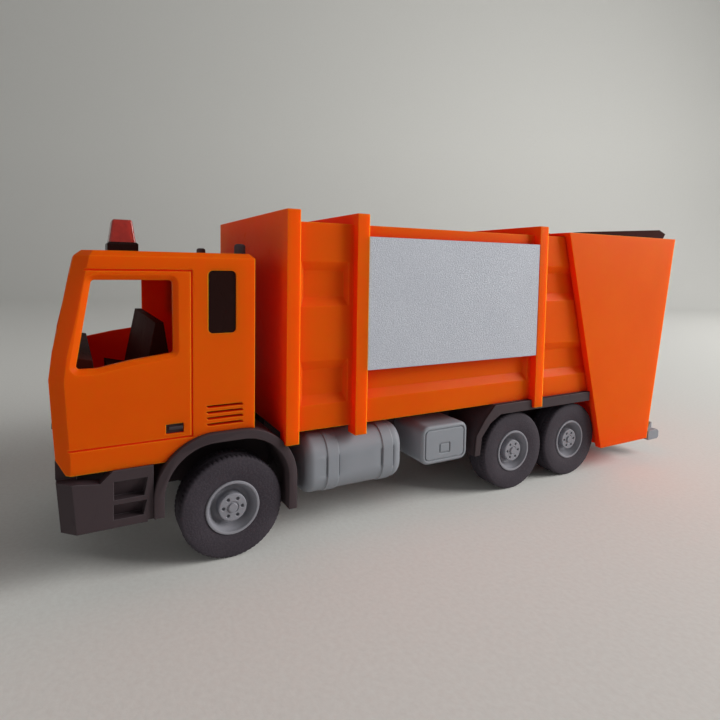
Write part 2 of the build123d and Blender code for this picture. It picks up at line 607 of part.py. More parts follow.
def load_box():
    """Hollow load box: channelled walls, three wrap-round ribs with turned-in feet, slanted open rear."""
    rear = gate_line(BOX_FLOOR_Z, GATE_LAP) + 2
    solid = box(-WALL_HALF, WALL_HALF, BOX_FRONT, rear, BOX_FLOOR_Z, BOX_ROOF_Z)
    for station in RIB_STATIONS:
        solid += rib(station)
    solid -= channels(rear + 5, 0)
    inner = WALL_HALF - BOX_WALL
    hollow = box(-inner, inner, BOX_FRONT + BOX_WALL, rear + 1, BOX_FLOOR_Z + BOX_WALL, BOX_ROOF_Z - BOX_WALL)
    solid -= hollow - channels(rear + 5, BOX_WALL)
    top, foot = gate_line(BOX_ROOF_Z, GATE_LAP), gate_line(BOX_FLOOR_Z, GATE_LAP)
    slant = ((top, BOX_ROOF_Z + 1), (top, BOX_ROOF_Z), (foot, BOX_FLOOR_Z), (foot, BOX_FLOOR_Z - 1),
             (rear + 2, BOX_FLOOR_Z - 1), (rear + 2, BOX_ROOF_Z + 1))
    solid -= side_prism(slant, -RIB_HALF, RIB_HALF)
    solid += both(hinge_leaf(HINGE_X[0], HINGE_X[1], RIB_STATIONS[2] + RIB_W, HINGE_S))
    return solid - bar_x(HINGE_S, HINGE_Z, PIN_R + PIN_GAP, -HINGE_X[3], HINGE_X[3])


def sign_panel():
    """Blank white board between the second and third ribs."""
    top = BOX_ROOF_Z - SIGN_DROP
    s0, s1 = RIB_STATIONS[1] + RIB_W + FIT, RIB_STATIONS[2] - FIT
    return box(WALL_HALF, RIB_HALF - SIGN_BACK, s0, s1, top - SIGN_H, top)


# ------------------------------------------------------------------ tailgate
def tailgate():
    """Hollow hopper: cheeks, roof, raked rear wall with the loading mouth, floor and a low front wall."""
    outline = ((GATE_FRONT_TOP, GATE_TOP_Z), (GATE_REAR_TOP, GATE_TOP_Z), (GATE_REAR_FOOT, GATE_FOOT_Z),
               (GATE_FRONT_FOOT, GATE_FOOT_Z))
    solid = side_prism(outline, -RIB_HALF, RIB_HALF)
    inside = WALL_HALF + GATE_SIDE_GAP
    front = GATE_FRONT_TOP - 5
    roof, floor = GATE_TOP_Z - GATE_ROOF_T, GATE_FOOT_Z + GATE_FLOOR_T
    shelf = BOX_FLOOR_Z - GATE_SHELF_DROP
    wall = GATE_FRONT_WALL_IN + GATE_WALL
    cavity = ((front, roof), (GATE_REAR_TOP - GATE_WALL, roof), (GATE_REAR_FOOT - GATE_WALL, floor),
              (gate_line(floor, wall), floor), (gate_line(shelf, wall), shelf), (front, shelf))
    solid -= side_prism(cavity, -inside, inside)
    under = ((gate_line(shelf + 1, GATE_FRONT_WALL_IN), shelf + 1), (gate_line(0, GATE_FRONT_WALL_IN), 0.0),
             (front, 0.0), (front, shelf + 1))
    solid -= side_prism(under, -inside, inside)
    mouth = box(-MOUTH_HALF, MOUTH_HALF, GATE_REAR_FOOT - 4, GATE_REAR_TOP + 6, *MOUTH_Z)
    solid -= fillet(mouth.edges().filter_by(Axis.Y), MOUTH_ROUND)
    notch_rear = HINGE_S + HINGE_R + GATE_GAP
    solid -= both(box(HINGE_X[0] - GATE_GAP, HINGE_X[2], front, notch_rear, roof - 1, GATE_TOP_Z + 1))
    solid += both(hinge_leaf(HINGE_X[2], HINGE_X[3], HINGE_S, HINGE_S + HINGE_LEAF)
                  - box(HINGE_X[2] - 1, HINGE_X[3] + 1, HINGE_S, HINGE_S + HINGE_LEAF + 1, 0, roof))
    for x0 in (EYE_X[0] - EYE_SIDE_GAP - EAR_T, EYE_X[1] + EYE_SIDE_GAP):
        ear = bar_x(EYE_S, EYE_Z, EYE_R, x0, x0 + EAR_T)
        solid += both(ear + box(x0, x0 + EAR_T, EYE_S - EYE_R, EYE_S + EYE_R, GATE_TOP_Z - 0.3, EYE_Z))
    solid -= bar_x(HINGE_S, HINGE_Z, PIN_R, -HINGE_X[3] - 1, HINGE_X[3] + 1)
    return solid - bar_x(EYE_S, EYE_Z, EYE_PIN_R, -EYE_X[1] - 3, EYE_X[1] + 3)


def gate_pins():
    """Two steel hinge pins, fixed in the gate's leaves, that turn in the load box's."""
    return both(bar_x(HINGE_S, HINGE_Z, PIN_R, HINGE_X[0] - 0.4, HINGE_X[3]))


def guard_frame():
    """Black frame on the tailgate's roof: two rising arms, a front crossbar with eyes, a rear crossbar."""
    front = EYE_S - 0.5
    tip, rear_top = ARM_UNDER + ARM_TIP_T, ARM_UNDER + ARM_RISE
    slope, drop = ARM_SLOPE
    arm = side_prism(((front, ARM_UNDER), (ARM_REAR - ARM_HEEL, ARM_UNDER), (ARM_REAR, rear_top - drop),
                      (ARM_REAR - slope, rear_top), (front, tip)), *ARM_X)
    arm += bar_x(EYE_S, EYE_Z, EYE_R, *EYE_X)
    solid = both(arm)
    out = ARM_X[1]
    half = [(out, ARM_UNDER), (out, tip), (YOKE_THIN, tip), (YOKE_FLAT, ARM_UNDER + YOKE_T)]
    yoke = cross_prism(half + [(-x, z) for x, z in reversed(half)], front, EYE_S + YOKE_LEN)
    for x0 in (EYE_X[0] - EYE_SIDE_GAP - EAR_T, EYE_X[1] + EYE_SIDE_GAP):
        x1 = x0 + EAR_T + EYE_SIDE_GAP
        yoke -= both(box(x0 - EYE_SIDE_GAP, x1, front - 1, EYE_S + EYE_R + 0.4, GATE_TOP_Z, EYE_Z + EYE_R))
    solid += yoke
    rear = ARM_REAR - slope
    solid += box(-ARM_X[0] - 0.5, ARM_X[0] + 0.5, rear - ARM_BAR_LEN, rear, ARM_UNDER, ARM_UNDER + ARM_BAR_T)
    return solid - bar_x(EYE_S, EYE_Z, EYE_PIN_R + PIN_GAP, -out, out)


def guard_pins():
    """Pins of the guard frame, fixed in the tailgate's ears."""
    side = EYE_SIDE_GAP + EAR_T
    return both(bar_x(EYE_S, EYE_Z, EYE_PIN_R, EYE_X[0] - side, EYE_X[1] + side))


def lift_base():
    """Grey plate under the hopper's foot with four lugs for the bin lift."""
    z0 = GATE_FOOT_Z - LIFT_BASE_T
    rear = GATE_REAR_FOOT + LIFT_BASE_OUT
    solid = box(-LIFT_BASE_HALF, LIFT_BASE_HALF, rear - LIFT_BASE_LEN, rear, z0, GATE_FOOT_Z)
    for x in LIFT_LUGS:
        for sign in (1, -1):
            x0 = sign * x - LIFT_LUG_T / 2
            lug = bar_x(LIFT_S, LIFT_Z, LIFT_EYE_R, x0, x0 + LIFT_LUG_T)
            lug += side_prism(((rear - 1, z0), (LIFT_S, z0), (LIFT_S + LIFT_EYE_R, LIFT_Z),
                               (LIFT_S, LIFT_Z + LIFT_EYE_R), (rear, GATE_FOOT_Z + 0.3),
                               (rear, GATE_FOOT_Z), (rear - 1, GATE_FOOT_Z)), x0, x0 + LIFT_LUG_T)
            solid += lug
    return solid - bar_x(LIFT_S, LIFT_Z, PIN_R, -LIFT_BASE_HALF, LIFT_BASE_HALF)


def lift_pin():
    """Long pin through the lift's lugs."""
    half = LIFT_LUGS[1] + LIFT_LUG_T / 2
    return bar_x(LIFT_S, LIFT_Z, PIN_R, -half, half)


def bin_lift():
    """Grey comb bar that hooks under a bin's rim, on four knuckles beside the lugs."""
    s0, z0 = LIFT_S + LIFT_BAR_SET, LIFT_Z - LIFT_BAR_DROP
    s1, z1 = s0 + LIFT_BAR_LEN, z0 + LIFT_BAR_H
    solid = box(-LIFT_BAR_HALF, LIFT_BAR_HALF, s0, s1, z0, z1)
    solid = chamfer(solid.edges().filter_by(Axis.X).group_by(Axis.Y)[-1], LIFT_BAR_EDGE)
    pitch = 2 * (LIFT_BAR_HALF - TOOTH_MARGIN) / (LIFT_TEETH - 1)
    tooth = ((s1 - 3.4, z1 - 0.5), (s1 - 1.0, z1 - 0.5), (s1 - 1.0, z1 + TOOTH_H), (s1 - 1.9, z1 + TOOTH_H))
    for k in range(LIFT_TEETH):
        x = TOOTH_MARGIN - LIFT_BAR_HALF + pitch * k
        solid += side_prism(tooth, x - TOOTH_W / 2, x + TOOTH_W / 2)
    knuckle = ((LIFT_S, LIFT_Z - LIFT_EYE_R), (s0 + 1, z0), (s0 + 1, z1), (LIFT_S, LIFT_Z + LIFT_EYE_R))
    for x in LIFT_LUGS:
        for sign in (1, -1):
            x0 = sign * (x + LIFT_LUG_T + LIFT_SIDE_GAP) - LIFT_LUG_T / 2
            solid += bar_x(LIFT_S, LIFT_Z, LIFT_EYE_R, x0, x0 + LIFT_LUG_T)
            solid += side_prism(knuckle, x0, x0 + LIFT_LUG_T)
    return solid - bar_x(LIFT_S, LIFT_Z, PIN_R + PIN_GAP, -LIFT_BAR_HALF, LIFT_BAR_HALF)


# ------------------------------------------------------------------ side pieces
def fuel_tank():
    """Rounded tank with two raised straps."""
    solid = box(SIDE_IN, TANK_OUT, *TANK_S, *TANK_Z)
    solid = fillet(solid.edges().filter_by(Axis.Y).group_by(Axis.X)[-1], TANK_ROUND)
    rims = solid.faces().filter_by(Axis.Y).edges().filter_by(lambda e: e.center().X > SIDE_IN + 0.1)
    solid = chamfer(rims, TANK_EDGE)
    for s0 in STRAP_STARTS:
        strap = box(SIDE_IN, TANK_OUT + STRAP_T, s0, s0 + STRAP_W, TANK_Z[0] - STRAP_T, TANK_Z[1])
        solid += fillet(strap.edges().filter_by(Axis.Y).group_by(Axis.X)[-1], TANK_ROUND)
        for edge in (s0 - GROOVE, s0 + STRAP_W):
            solid -= box(TANK_OUT - GROOVE_DEPTH, TANK_OUT + 1, edge, edge + GROOVE, TANK_Z[0] + GROOVE_FOOT,
                         TANK_Z[1] - TANK_ROUND)
    return solid


def door_groove(margins, corner, width):
    """Closed groove in the tool box's front, its outer line inside margins: front, rear, foot, head."""
    front, rear, foot, head = margins
    ring = None
    for inset in (0, width):
        block = box(TANK_OUT - TOOL_SEAM[2], TANK_OUT + 1,
                    TOOL_S[0] + front + inset, TOOL_S[1] - rear - inset,
                    TOOL_Z[0] + foot + inset, TOOL_Z[1] - head - inset)
        if corner > 0:
            block = fillet(block.edges().filter_by(Axis.X), corner - inset)
        ring = block if ring is None else ring - block
    return ring


def tool_box():
    """Closed locker with rounded corners, a door's groove and the small square groove of its latch."""
    solid = box(SIDE_IN, TANK_OUT, *TOOL_S, *TOOL_Z)
    solid = fillet(solid.edges().filter_by(Axis.X), TOOL_ROUND)
    solid = chamfer(solid.edges().group_by(Axis.X)[-1], TOOL_EDGE)
    margin, width, _ = TOOL_SEAM
    solid -= door_groove((margin,) * 4, TOOL_ROUND - TOOL_EDGE, width)
    start, length, lift, height = LATCH
    rear, head = TOOL_S[1] - TOOL_S[0] - start - length, TOOL_Z[1] - TOOL_Z[0] - lift - height
    return solid - door_groove((start, rear, lift, head), 0, width)


def mudguard():
    """Rear guard: a short leg, a slope and a long level top under the load box."""
    line = [(AXLES[1][1] - ahead, z) for ahead, z in GUARD_LINE]
    line.append((AXLES[2][1] + GUARD_TAIL, BOX_FLOOR_Z))
    t = GUARD_T
    shifts = ((t, 0.0), (t, -0.2 * t), (0.9 * t, -t), (0.4 * t, -t), (0.0, -t))
    inner = [(s + ds, z + dz) for (s, z), (ds, dz) in zip(line, shifts)]
    solid = side_prism(line + inner[::-1], SIDE_IN, ARCH_OUT)
    return solid - foot_notch(RIB_STATIONS[2])


# ------------------------------------------------------------------ export
os.makedirs("parts", exist_ok=True)

for name, station in AXLES:
    save("axle_" + name, axle(station))
    wheel_rim, wheel_tyre = rim(station), tyre(station)
    for side, turn in (("left", lambda shape: shape), ("right", lambda shape: mirror(shape, Plane.YZ))):
        save("rim_" + name + "_" + side, turn(wheel_rim))
        save("tyre_" + name + "_" + side, turn(wheel_tyre))

SIDE_PIECES = (("front_fender", fender), ("quarter_window", quarter_window), ("door_handle", door_handle),
               ("sign_panel", sign_panel), ("fuel_tank", fuel_tank), ("tool_box", tool_box),
               ("rear_mudguard", mudguard))
for name, make in SIDE_PIECES:
    piece = make()
    save(name + "_left", piece)
    save(name + "_right", mirror(piece, Plane.YZ))

SINGLE_PIECES = (("chassis_frame", chassis), ("cab_shell", cab_shell), ("cab_interior", cab_interior),
                 ("front_grille", grille), ("front_bumper", bumper), ("head_lamps", head_lamps),
                 ("beacon_base", beacon_base), ("beacon_lens", beacon_lens), ("roof_pegs", roof_pegs),
                 ("container_body", load_box), ("tailgate_hopper", tailgate), ("tailgate_pins", gate_pins),
                 ("guard_frame", guard_frame), ("guard_pins", guard_pins), ("lift_base", lift_base),
                 ("lift_pin", lift_pin), ("bin_lift", bin_lift))
for name, make in SINGLE_PIECES:
    save(name, make())
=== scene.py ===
import bmesh
import bpy
import math
import numpy as np
from mathutils import Matrix, Vector


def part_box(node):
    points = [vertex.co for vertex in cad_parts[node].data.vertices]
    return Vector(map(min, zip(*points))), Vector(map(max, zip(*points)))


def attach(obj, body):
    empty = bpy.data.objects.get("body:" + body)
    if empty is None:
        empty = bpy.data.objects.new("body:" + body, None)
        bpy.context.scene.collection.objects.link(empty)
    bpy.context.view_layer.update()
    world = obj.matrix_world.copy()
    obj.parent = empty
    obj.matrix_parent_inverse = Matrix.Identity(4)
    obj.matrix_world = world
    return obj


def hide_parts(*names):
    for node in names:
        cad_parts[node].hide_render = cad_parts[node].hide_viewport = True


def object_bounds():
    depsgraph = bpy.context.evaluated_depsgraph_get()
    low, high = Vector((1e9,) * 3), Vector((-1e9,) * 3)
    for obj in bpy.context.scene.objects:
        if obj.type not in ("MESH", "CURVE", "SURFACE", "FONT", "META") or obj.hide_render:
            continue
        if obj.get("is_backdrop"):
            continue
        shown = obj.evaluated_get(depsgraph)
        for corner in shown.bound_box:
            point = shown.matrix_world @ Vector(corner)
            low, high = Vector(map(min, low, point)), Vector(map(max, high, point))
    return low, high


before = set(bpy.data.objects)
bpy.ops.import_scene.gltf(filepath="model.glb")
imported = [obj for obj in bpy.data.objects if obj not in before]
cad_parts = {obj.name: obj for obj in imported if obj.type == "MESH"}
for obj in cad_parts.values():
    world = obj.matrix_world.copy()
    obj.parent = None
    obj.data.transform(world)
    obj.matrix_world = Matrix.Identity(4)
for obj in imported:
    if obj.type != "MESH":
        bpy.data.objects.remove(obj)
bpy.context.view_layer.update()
scene = bpy.context.scene
scene.view_settings.view_transform = "Standard"

# ---- Viewpoint
# A camera a hand's breadth from the front left corner, level with the cab's roof.
# Its lens is set a little low, so upright edges stay nearly upright.
CAMERA_PLACE = (0.14503, -0.09375, 0.06697)
CAMERA_YAW = 0.5007
CAMERA_PITCH = -0.0638
CAMERA_ROLL = 0.0162
CAMERA_FOCAL_PX = 532.5
CAMERA_AXIS_RISE_PX = 58.9
FRAME_PX = 720

camera_data = bpy.data.cameras.new("camera")
camera_data.sensor_width = 36.0
camera_data.lens = CAMERA_FOCAL_PX / FRAME_PX * camera_data.sensor_width
camera_data.shift_y = -CAMERA_AXIS_RISE_PX / FRAME_PX
camera_data.clip_start = 0.001
camera_data.clip_end = 20.0
camera = bpy.data.objects.new("camera", camera_data)
scene.collection.objects.link(camera)
scene.camera = camera
cos_yaw, sin_yaw = math.cos(CAMERA_YAW), math.sin(CAMERA_YAW)
cos_pitch, sin_pitch = math.cos(CAMERA_PITCH), math.sin(CAMERA_PITCH)
ahead = np.array((-cos_yaw * cos_pitch, sin_yaw * cos_pitch, sin_pitch))
level_right = np.array((sin_yaw, cos_yaw, 0.0))
level_up = np.cross(level_right, ahead)
right = math.cos(CAMERA_ROLL) * level_right + math.sin(CAMERA_ROLL) * level_up
up = math.cos(CAMERA_ROLL) * level_up - math.sin(CAMERA_ROLL) * level_right
turn = Matrix((tuple(right), tuple(up), tuple(-ahead))).transposed().to_4x4()
camera.matrix_world = Matrix.Translation(CAMERA_PLACE) @ turn

# ---- Orange shells
# Cab, load box and tailgate hopper, each one moulding in the same satin orange plastic.
# The colour is dyed through and scatters light under the surface; a lighter line is painted on the edges as
# highlight, and deep gaps are painted a brighter red as glow.
ORANGE = (0.82, 0.110, 0.002)
# Lighter orange painted on the edges as highlight.
ORANGE_EDGE_HIGHLIGHT = (1.0, 0.29, 0.012)
ORANGE_THIN = (0.76, 0.082, 0.001)
PAINTED_GAP_GLOW_RED = (1.0, 0.032, 0.004)
PAINTED_GAP_GLOW_REACH = 0.025
GLOW_SHARE = 0.7
GLOW_BY_COLOUR = (1.0, 0.2, 0.04)
GLOW_REACH = 0.006
SHELLS = ("cab_shell", "container_body", "tailgate_hopper")


def node(tree, kind, sockets, **settings):
    """One shader node. A socket gets the plain value given for it, or a link where a socket is given."""
    made = tree.nodes.new("ShaderNode" + kind)
    for key, value in settings.items():
        setattr(made, key, value)
    for key, value in sockets.items():
        if isinstance(value, bpy.types.NodeSocket):
            tree.links.new(value, made.inputs[key])
        else:
            made.inputs[key].default_value = value
    return made


def new_material(name):
    """Empty node material: its tree, the finish shader already wired to the output."""
    material = bpy.data.materials.new(name)
    material.use_nodes = True
    material.node_tree.nodes.clear()
    tree = material.node_tree
    finish = node(tree, "BsdfPrincipled", {})
    node(tree, "OutputMaterial", {"Surface": finish.outputs["BSDF"]})
    return material, tree, finish


def mixed(tree, share, first, second):
    """Colour between two, by a share from 0 to 1."""
    return node(tree, "Mix", {0: share, 6: first, 7: second}, data_type="RGBA").outputs[2]


def spread(tree, value, low, high, to_low, to_high):
    """Value mapped from one range to another and held inside it."""
    return node(tree, "MapRange", {0: value, 1: low, 2: high, 3: to_low, 4: to_high}).outputs[0]


def moulded_plastic(name, colour, edge_highlight_colour, thin_colour, roughness, grain_mm, grain_depth_mm,
                    edge_mm=0.25):
    """Dyed moulded plastic: fine tool grain, slow drift of tone and gloss, faint scuffs, and a painted
    highlight on its edges.

    The painted highlight is a lighter edge line: one minus the dot product of the true normal and a rounded
    one."""
    material, tree, finish = new_material(name)
    place = node(tree, "TexCoord", {}).outputs["Object"]
    grain = node(tree, "TexNoise", {"Vector": place, "Scale": 1000 / grain_mm, "Detail": 2.0,
                                    "Roughness": 0.6}).outputs[0]
    drift = node(tree, "TexNoise", {"Vector": place, "Scale": 55.0, "Detail": 3.0}).outputs[0]
    scuff_noise = node(tree, "TexNoise", {"Vector": place, "Scale": 160.0, "Detail": 5.0, "Roughness": 0.7,
                                          "Distortion": 2.5}).outputs[0]
    scuff = spread(tree, scuff_noise, 0.6, 0.68, 0.0, 0.3)
    round_normal = node(tree, "Bevel", {"Radius": edge_mm / 1000}, samples=6).outputs[0]
    true_normal = node(tree, "NewGeometry", {}).outputs["Normal"]
    facing = node(tree, "VectorMath", {0: round_normal, 1: true_normal}, operation="DOT_PRODUCT").outputs[1]
    # A lighter colour is painted along the edges as highlight.
    edge = spread(tree, facing, 0.985, 0.8, 0.0, 0.75)
    tone = mixed(tree, spread(tree, drift, 0.3, 0.7, 0.0, 0.5), (*colour, 1), (*thin_colour, 1))
    tree.links.new(mixed(tree, edge, tone, (*edge_highlight_colour, 1)), finish.inputs["Base Color"])
    even_gloss = spread(tree, drift, 0.3, 0.7, roughness - 0.04, roughness + 0.05)
    gloss = node(tree, "Math", {0: even_gloss, 1: scuff}, operation="ADD", use_clamp=True).outputs[0]
    tree.links.new(gloss, finish.inputs["Roughness"])
    bump = node(tree, "Bump", {"Height": grain, "Distance": grain_depth_mm / 1000, "Strength": 1.0,
                               "Normal": round_normal}).outputs[0]
    tree.links.new(bump, finish.inputs["Normal"])
    finish.inputs["Specular IOR Level"].default_value = 0.18
    return material, tree, finish


def finish_nodes(names, material):
    """Gives CAD pieces that show as they are their material."""
    for name in names:
        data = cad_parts[name].data
        data.materials.clear()
        data.materials.append(material)


orange_plastic, tree, finish = moulded_plastic(
    "orange_moulded_plastic", ORANGE, ORANGE_EDGE_HIGHLIGHT, ORANGE_THIN,
    roughness=0.4, grain_mm=0.12, grain_depth_mm=0.004, edge_mm=0.35)
# Where nearby walls close in, the colour is painted a brighter red: a painted glow in deep gaps, standing
# in for light passed through the walls.
gap_openness_for_painted_glow = node(tree, "AmbientOcclusion", {"Distance": PAINTED_GAP_GLOW_REACH}, samples=6).outputs["AO"]
surface_tone = finish.inputs["Base Color"].links[0].from_socket
tree.links.new(mixed(tree, spread(tree, gap_openness_for_painted_glow, 0.85, 0.45, 0.0, 1.0), surface_tone, (*PAINTED_GAP_GLOW_RED, 1)),
               finish.inputs["Base Color"])
finish.inputs["Subsurface Weight"].default_value = GLOW_SHARE
finish.inputs["Subsurface Radius"].default_value = GLOW_BY_COLOUR
finish.inputs["Subsurface Scale"].default_value = GLOW_REACH
finish.inputs["Specular IOR Level"].default_value = 0.04
finish_nodes(SHELLS, orange_plastic)

# ---- Side boards
# Blank white boards let in between the second and third ribs, one a side.
# Their face is a cool grey-white foil, covered with small proud specks.
BOARD_WHITE = (0.54, 0.57, 0.64)
BOARD_SHADE = (0.42, 0.45, 0.52)
STIPPLE_MM = 0.3
STIPPLE_PROUD = 0.00006
BOARD_EDGE = 0.0003

board_foil, tree, finish = new_material("stippled_white_foil")
place = node(tree, "TexCoord", {}).outputs["Object"]
stipple = node(tree, "TexNoise", {"Vector": place, "Scale": 1000 / STIPPLE_MM, "Detail": 3.0,
                                  "Roughness": 0.65}).outputs[0]
cells = node(tree, "TexVoronoi", {"Vector": place, "Scale": 1000 / STIPPLE_MM,
                                  "Randomness": 1.0}).outputs[0]
height = node(tree, "Math", {0: spread(tree, stipple, 0.35, 0.65, 0.0, 1.0),
                             1: spread(tree, cells, 0.15, 0.6, 0.8, 0.0)}, operation="ADD").outputs[0]
drift = node(tree, "TexNoise", {"Vector": place, "Scale": 70.0, "Detail": 2.0}).outputs[0]
tone = mixed(tree, spread(tree, height, 0.3, 1.3, 0.0, 1.0), (*BOARD_SHADE, 1), (*BOARD_WHITE, 1))
dulled = mixed(tree, spread(tree, drift, 0.35, 0.7, 0.0, 0.25), tone, (*BOARD_SHADE, 1))
tree.links.new(dulled, finish.inputs["Base Color"])
tree.links.new(spread(tree, drift, 0.3, 0.7, 0.5, 0.62), finish.inputs["Roughness"])
soft_edge = node(tree, "Bevel", {"Radius": BOARD_EDGE}, samples=4).outputs[0]
tree.links.new(node(tree, "Bump", {"Height": height, "Distance": STIPPLE_PROUD, "Strength": 0.8,
                                   "Normal": soft_edge}).outputs[0], finish.inputs["Normal"])
finish_nodes(("sign_panel_left", "sign_panel_right"), board_foil)

# ---- Dark mouldings
# Bumper, arches, rear mudguards, frame, grille and door handles are one dark purple-grey plastic, matt
# from a finely blasted mould, with softened edges and a lighter line painted on them as highlight. The
# cab's inner moulding and the guard frame on the tailgate are a black one, with the red of light bounced
# off the orange walls painted into its colour.
DARK_GREY = (0.052, 0.037, 0.042)
DARK_EDGE_HIGHLIGHT = (0.115, 0.10, 0.11)
DARK_THIN = (0.040, 0.027, 0.031)
# Black with the red of light bounced off the orange walls painted in; its edge colour also carries a
# painted highlight.
BLACK_PAINTED_RED_BOUNCE = (0.036, 0.006, 0.004)
BLACK_PAINTED_RED_BOUNCE_EDGE_HIGHLIGHT = (0.07, 0.02, 0.015)
BLACK_PAINTED_RED_BOUNCE_THIN = (0.026, 0.004, 0.003)
SOFT_EDGE = 0.00015
WELD_REACH = 0.000001

dark_plastic, _, _ = moulded_plastic("dark_moulded_plastic", DARK_GREY, DARK_EDGE_HIGHLIGHT, DARK_THIN,
                                     roughness=0.55, grain_mm=0.18, grain_depth_mm=0.012)
inner_plastic, _, finish = moulded_plastic(
    "inner_moulding_plastic", BLACK_PAINTED_RED_BOUNCE, BLACK_PAINTED_RED_BOUNCE_EDGE_HIGHLIGHT, BLACK_PAINTED_RED_BOUNCE_THIN,
    roughness=0.6, grain_mm=0.25, grain_depth_mm=0.015)
finish.inputs["Specular IOR Level"].default_value = 0.03


def softened(name):
    """Copy of a moulding for show: loose facets welded, flat ones joined, edges rounded, curves smooth."""
    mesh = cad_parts[name].data.copy()
    shape = bmesh.new()
    shape.from_mesh(mesh)
    bmesh.ops.remove_doubles(shape, verts=shape.verts, dist=WELD_REACH)
    bmesh.ops.dissolve_limit(shape, angle_limit=math.radians(0.6), verts=shape.verts, edges=shape.edges)
    shape.to_mesh(mesh)
    shape.free()
    mesh.shade_smooth()
    mesh.materials.clear()
    mesh.materials.append(dark_plastic)
    piece = bpy.data.objects.new(name + "_moulding", mesh)
    scene.collection.objects.link(piece)
    rounding = piece.modifiers.new("rounded_edges", "BEVEL")
    rounding.width = SOFT_EDGE
    rounding.segments = 2
    rounding.limit_method = "ANGLE"
    rounding.angle_limit = math.radians(32)
    rounding.use_clamp_overlap = False
    rounding.harden_normals = True
    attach(piece, "truck")
    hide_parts(name)


for side in ("left", "right"):
    softened("front_fender_" + side)
    softened("rear_mudguard_" + side)
finish_nodes(("front_bumper", "chassis_frame", "front_grille", "door_handle_left", "door_handle_right"),
             dark_plastic)
finish_nodes(("cab_interior", "guard_frame"), inner_plastic)

# ---- Black fittings
# Rear side windows and the beacon's foot, in a glossier black plastic.
# Each is pressed into an opening of the orange cab.
GLOSS_BLACK = (0.016, 0.004, 0.003)
# Lighter colour painted on the edges as highlight.
GLOSS_EDGE_HIGHLIGHT = (0.05, 0.035, 0.035)
GLOSS_THIN = (0.008, 0.003, 0.003)

black_plastic, _, finish = moulded_plastic("black_gloss_plastic", GLOSS_BLACK, GLOSS_EDGE_HIGHLIGHT, GLOSS_THIN,
                                           roughness=0.28, grain_mm=0.3, grain_depth_mm=0.004)
finish.inputs["Specular IOR Level"].default_value = 0.08
finish_nodes(("quarter_window_left", "quarter_window_right", "beacon_base"), black_plastic)

# ---- Roof pegs
# Two dark rubbery pegs with domed tops.
# They stand in holes at the cab roof's rear corners.
PEG_COLOUR = (0.085, 0.065, 0.075)
# Lighter colour painted on the edges as highlight.
PEG_EDGE_HIGHLIGHT = (0.16, 0.13, 0.15)
PEG_THIN = (0.06, 0.045, 0.05)
PEG_SIDES = 48
PEG_DOME = 0.0007

peg_rubber, _, _ = moulded_plastic("peg_rubber", PEG_COLOUR, PEG_EDGE_HIGHLIGHT, PEG_THIN,
                                   roughness=0.5, grain_mm=0.2, grain_depth_mm=0.01)


def show_mesh(name, points, faces, materials, body, replaced=(), sharp_deg=35):
    """Mesh piece from points and faces, shaded smooth.

    All faces are reversed where the signed volume, the sum over fan triangles of a . (b x c) / 6, is
    negative, so that they point outwards."""
    volume = 0.0
    for face in faces:
        corner = points[np.asarray(face)]
        volume += np.einsum("ij,ij->i", np.broadcast_to(corner[0], corner[1:-1].shape),
                            np.cross(corner[1:-1], corner[2:])).sum()
    if volume < 0:
        faces = [tuple(face)[::-1] for face in faces]
    mesh = bpy.data.meshes.new(name)
    mesh.from_pydata(points.tolist(), [], [tuple(int(i) for i in face) for face in faces])
    mesh.shade_smooth()
    mesh.set_sharp_from_angle(angle=math.radians(sharp_deg))
    for material in materials:
        mesh.materials.append(material)
    piece = bpy.data.objects.new(name, mesh)
    scene.collection.objects.link(piece)
    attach(piece, body)
    if replaced:
        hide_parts(*replaced)
    return piece


def ring_faces(rings, sides, closed):
    """Quads between neighbouring rings of points; a closed surface joins the last ring to the first."""
    i, j = np.meshgrid(np.arange(rings if closed else rings - 1), np.arange(sides), indexing="ij")
    i, j, following = i.ravel(), j.ravel(), ((i + 1) % rings).ravel()
    ahead_j = (j + 1) % sides
    return np.stack((i * sides + j, i * sides + ahead_j, following * sides + ahead_j,
                     following * sides + j), 1)


def turned(profile, sides):
    """Rings of a turned shape about Z: point (i, j) is radius_i at the angle j of sides, at height_i."""
    angle = np.linspace(0, 2 * np.pi, sides, endpoint=False)
    radius, height = profile[:, :1], profile[:, 1:]
    height = np.broadcast_to(height, (len(profile), sides))
    return np.stack((radius * np.cos(angle), radius * np.sin(angle), height), 2).reshape(-1, 3)


peg_low, peg_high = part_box("roof_pegs")
peg_radius, peg_top = (peg_high.y - peg_low.y) / 2, peg_high.z - peg_low.z
quarter = np.linspace(0, np.pi / 2, 9)
peg_profile = np.concatenate(([[peg_radius, 0.0]], np.stack(
    (peg_radius - PEG_DOME * (1 - np.cos(quarter)), peg_top - PEG_DOME * (1 - np.sin(quarter))), 1)))
peg = turned(peg_profile, PEG_SIDES)
peg_faces = list(ring_faces(len(peg_profile), PEG_SIDES, False))
peg_faces += [np.arange(PEG_SIDES)[::-1], np.arange(len(peg) - PEG_SIDES, len(peg))]
points, faces = [], []
for x in (peg_low.x + peg_radius, peg_high.x - peg_radius):
    faces += [face + len(peg) * len(points) for face in peg_faces]
    points.append(peg + (x, (peg_low.y + peg_high.y) / 2, peg_low.z))
show_mesh("roof_peg_pair", np.concatenate(points), faces, [peg_rubber], "truck",
          ("roof_pegs",))

# ---- Mudguard lips
# The rear mudguards' outer edges hang deeper than their tops, as a stiff lip of the same moulding.
# A notch in each lip lets the load box's rear rib foot pass.
LIP_PROUD = 0.0001
LIP_WIDE = 0.0008
LIP_EDGE = 0.00015
MIDDLE_STATION = 0.09385
SIDES = (("left", 1), ("right", -1))
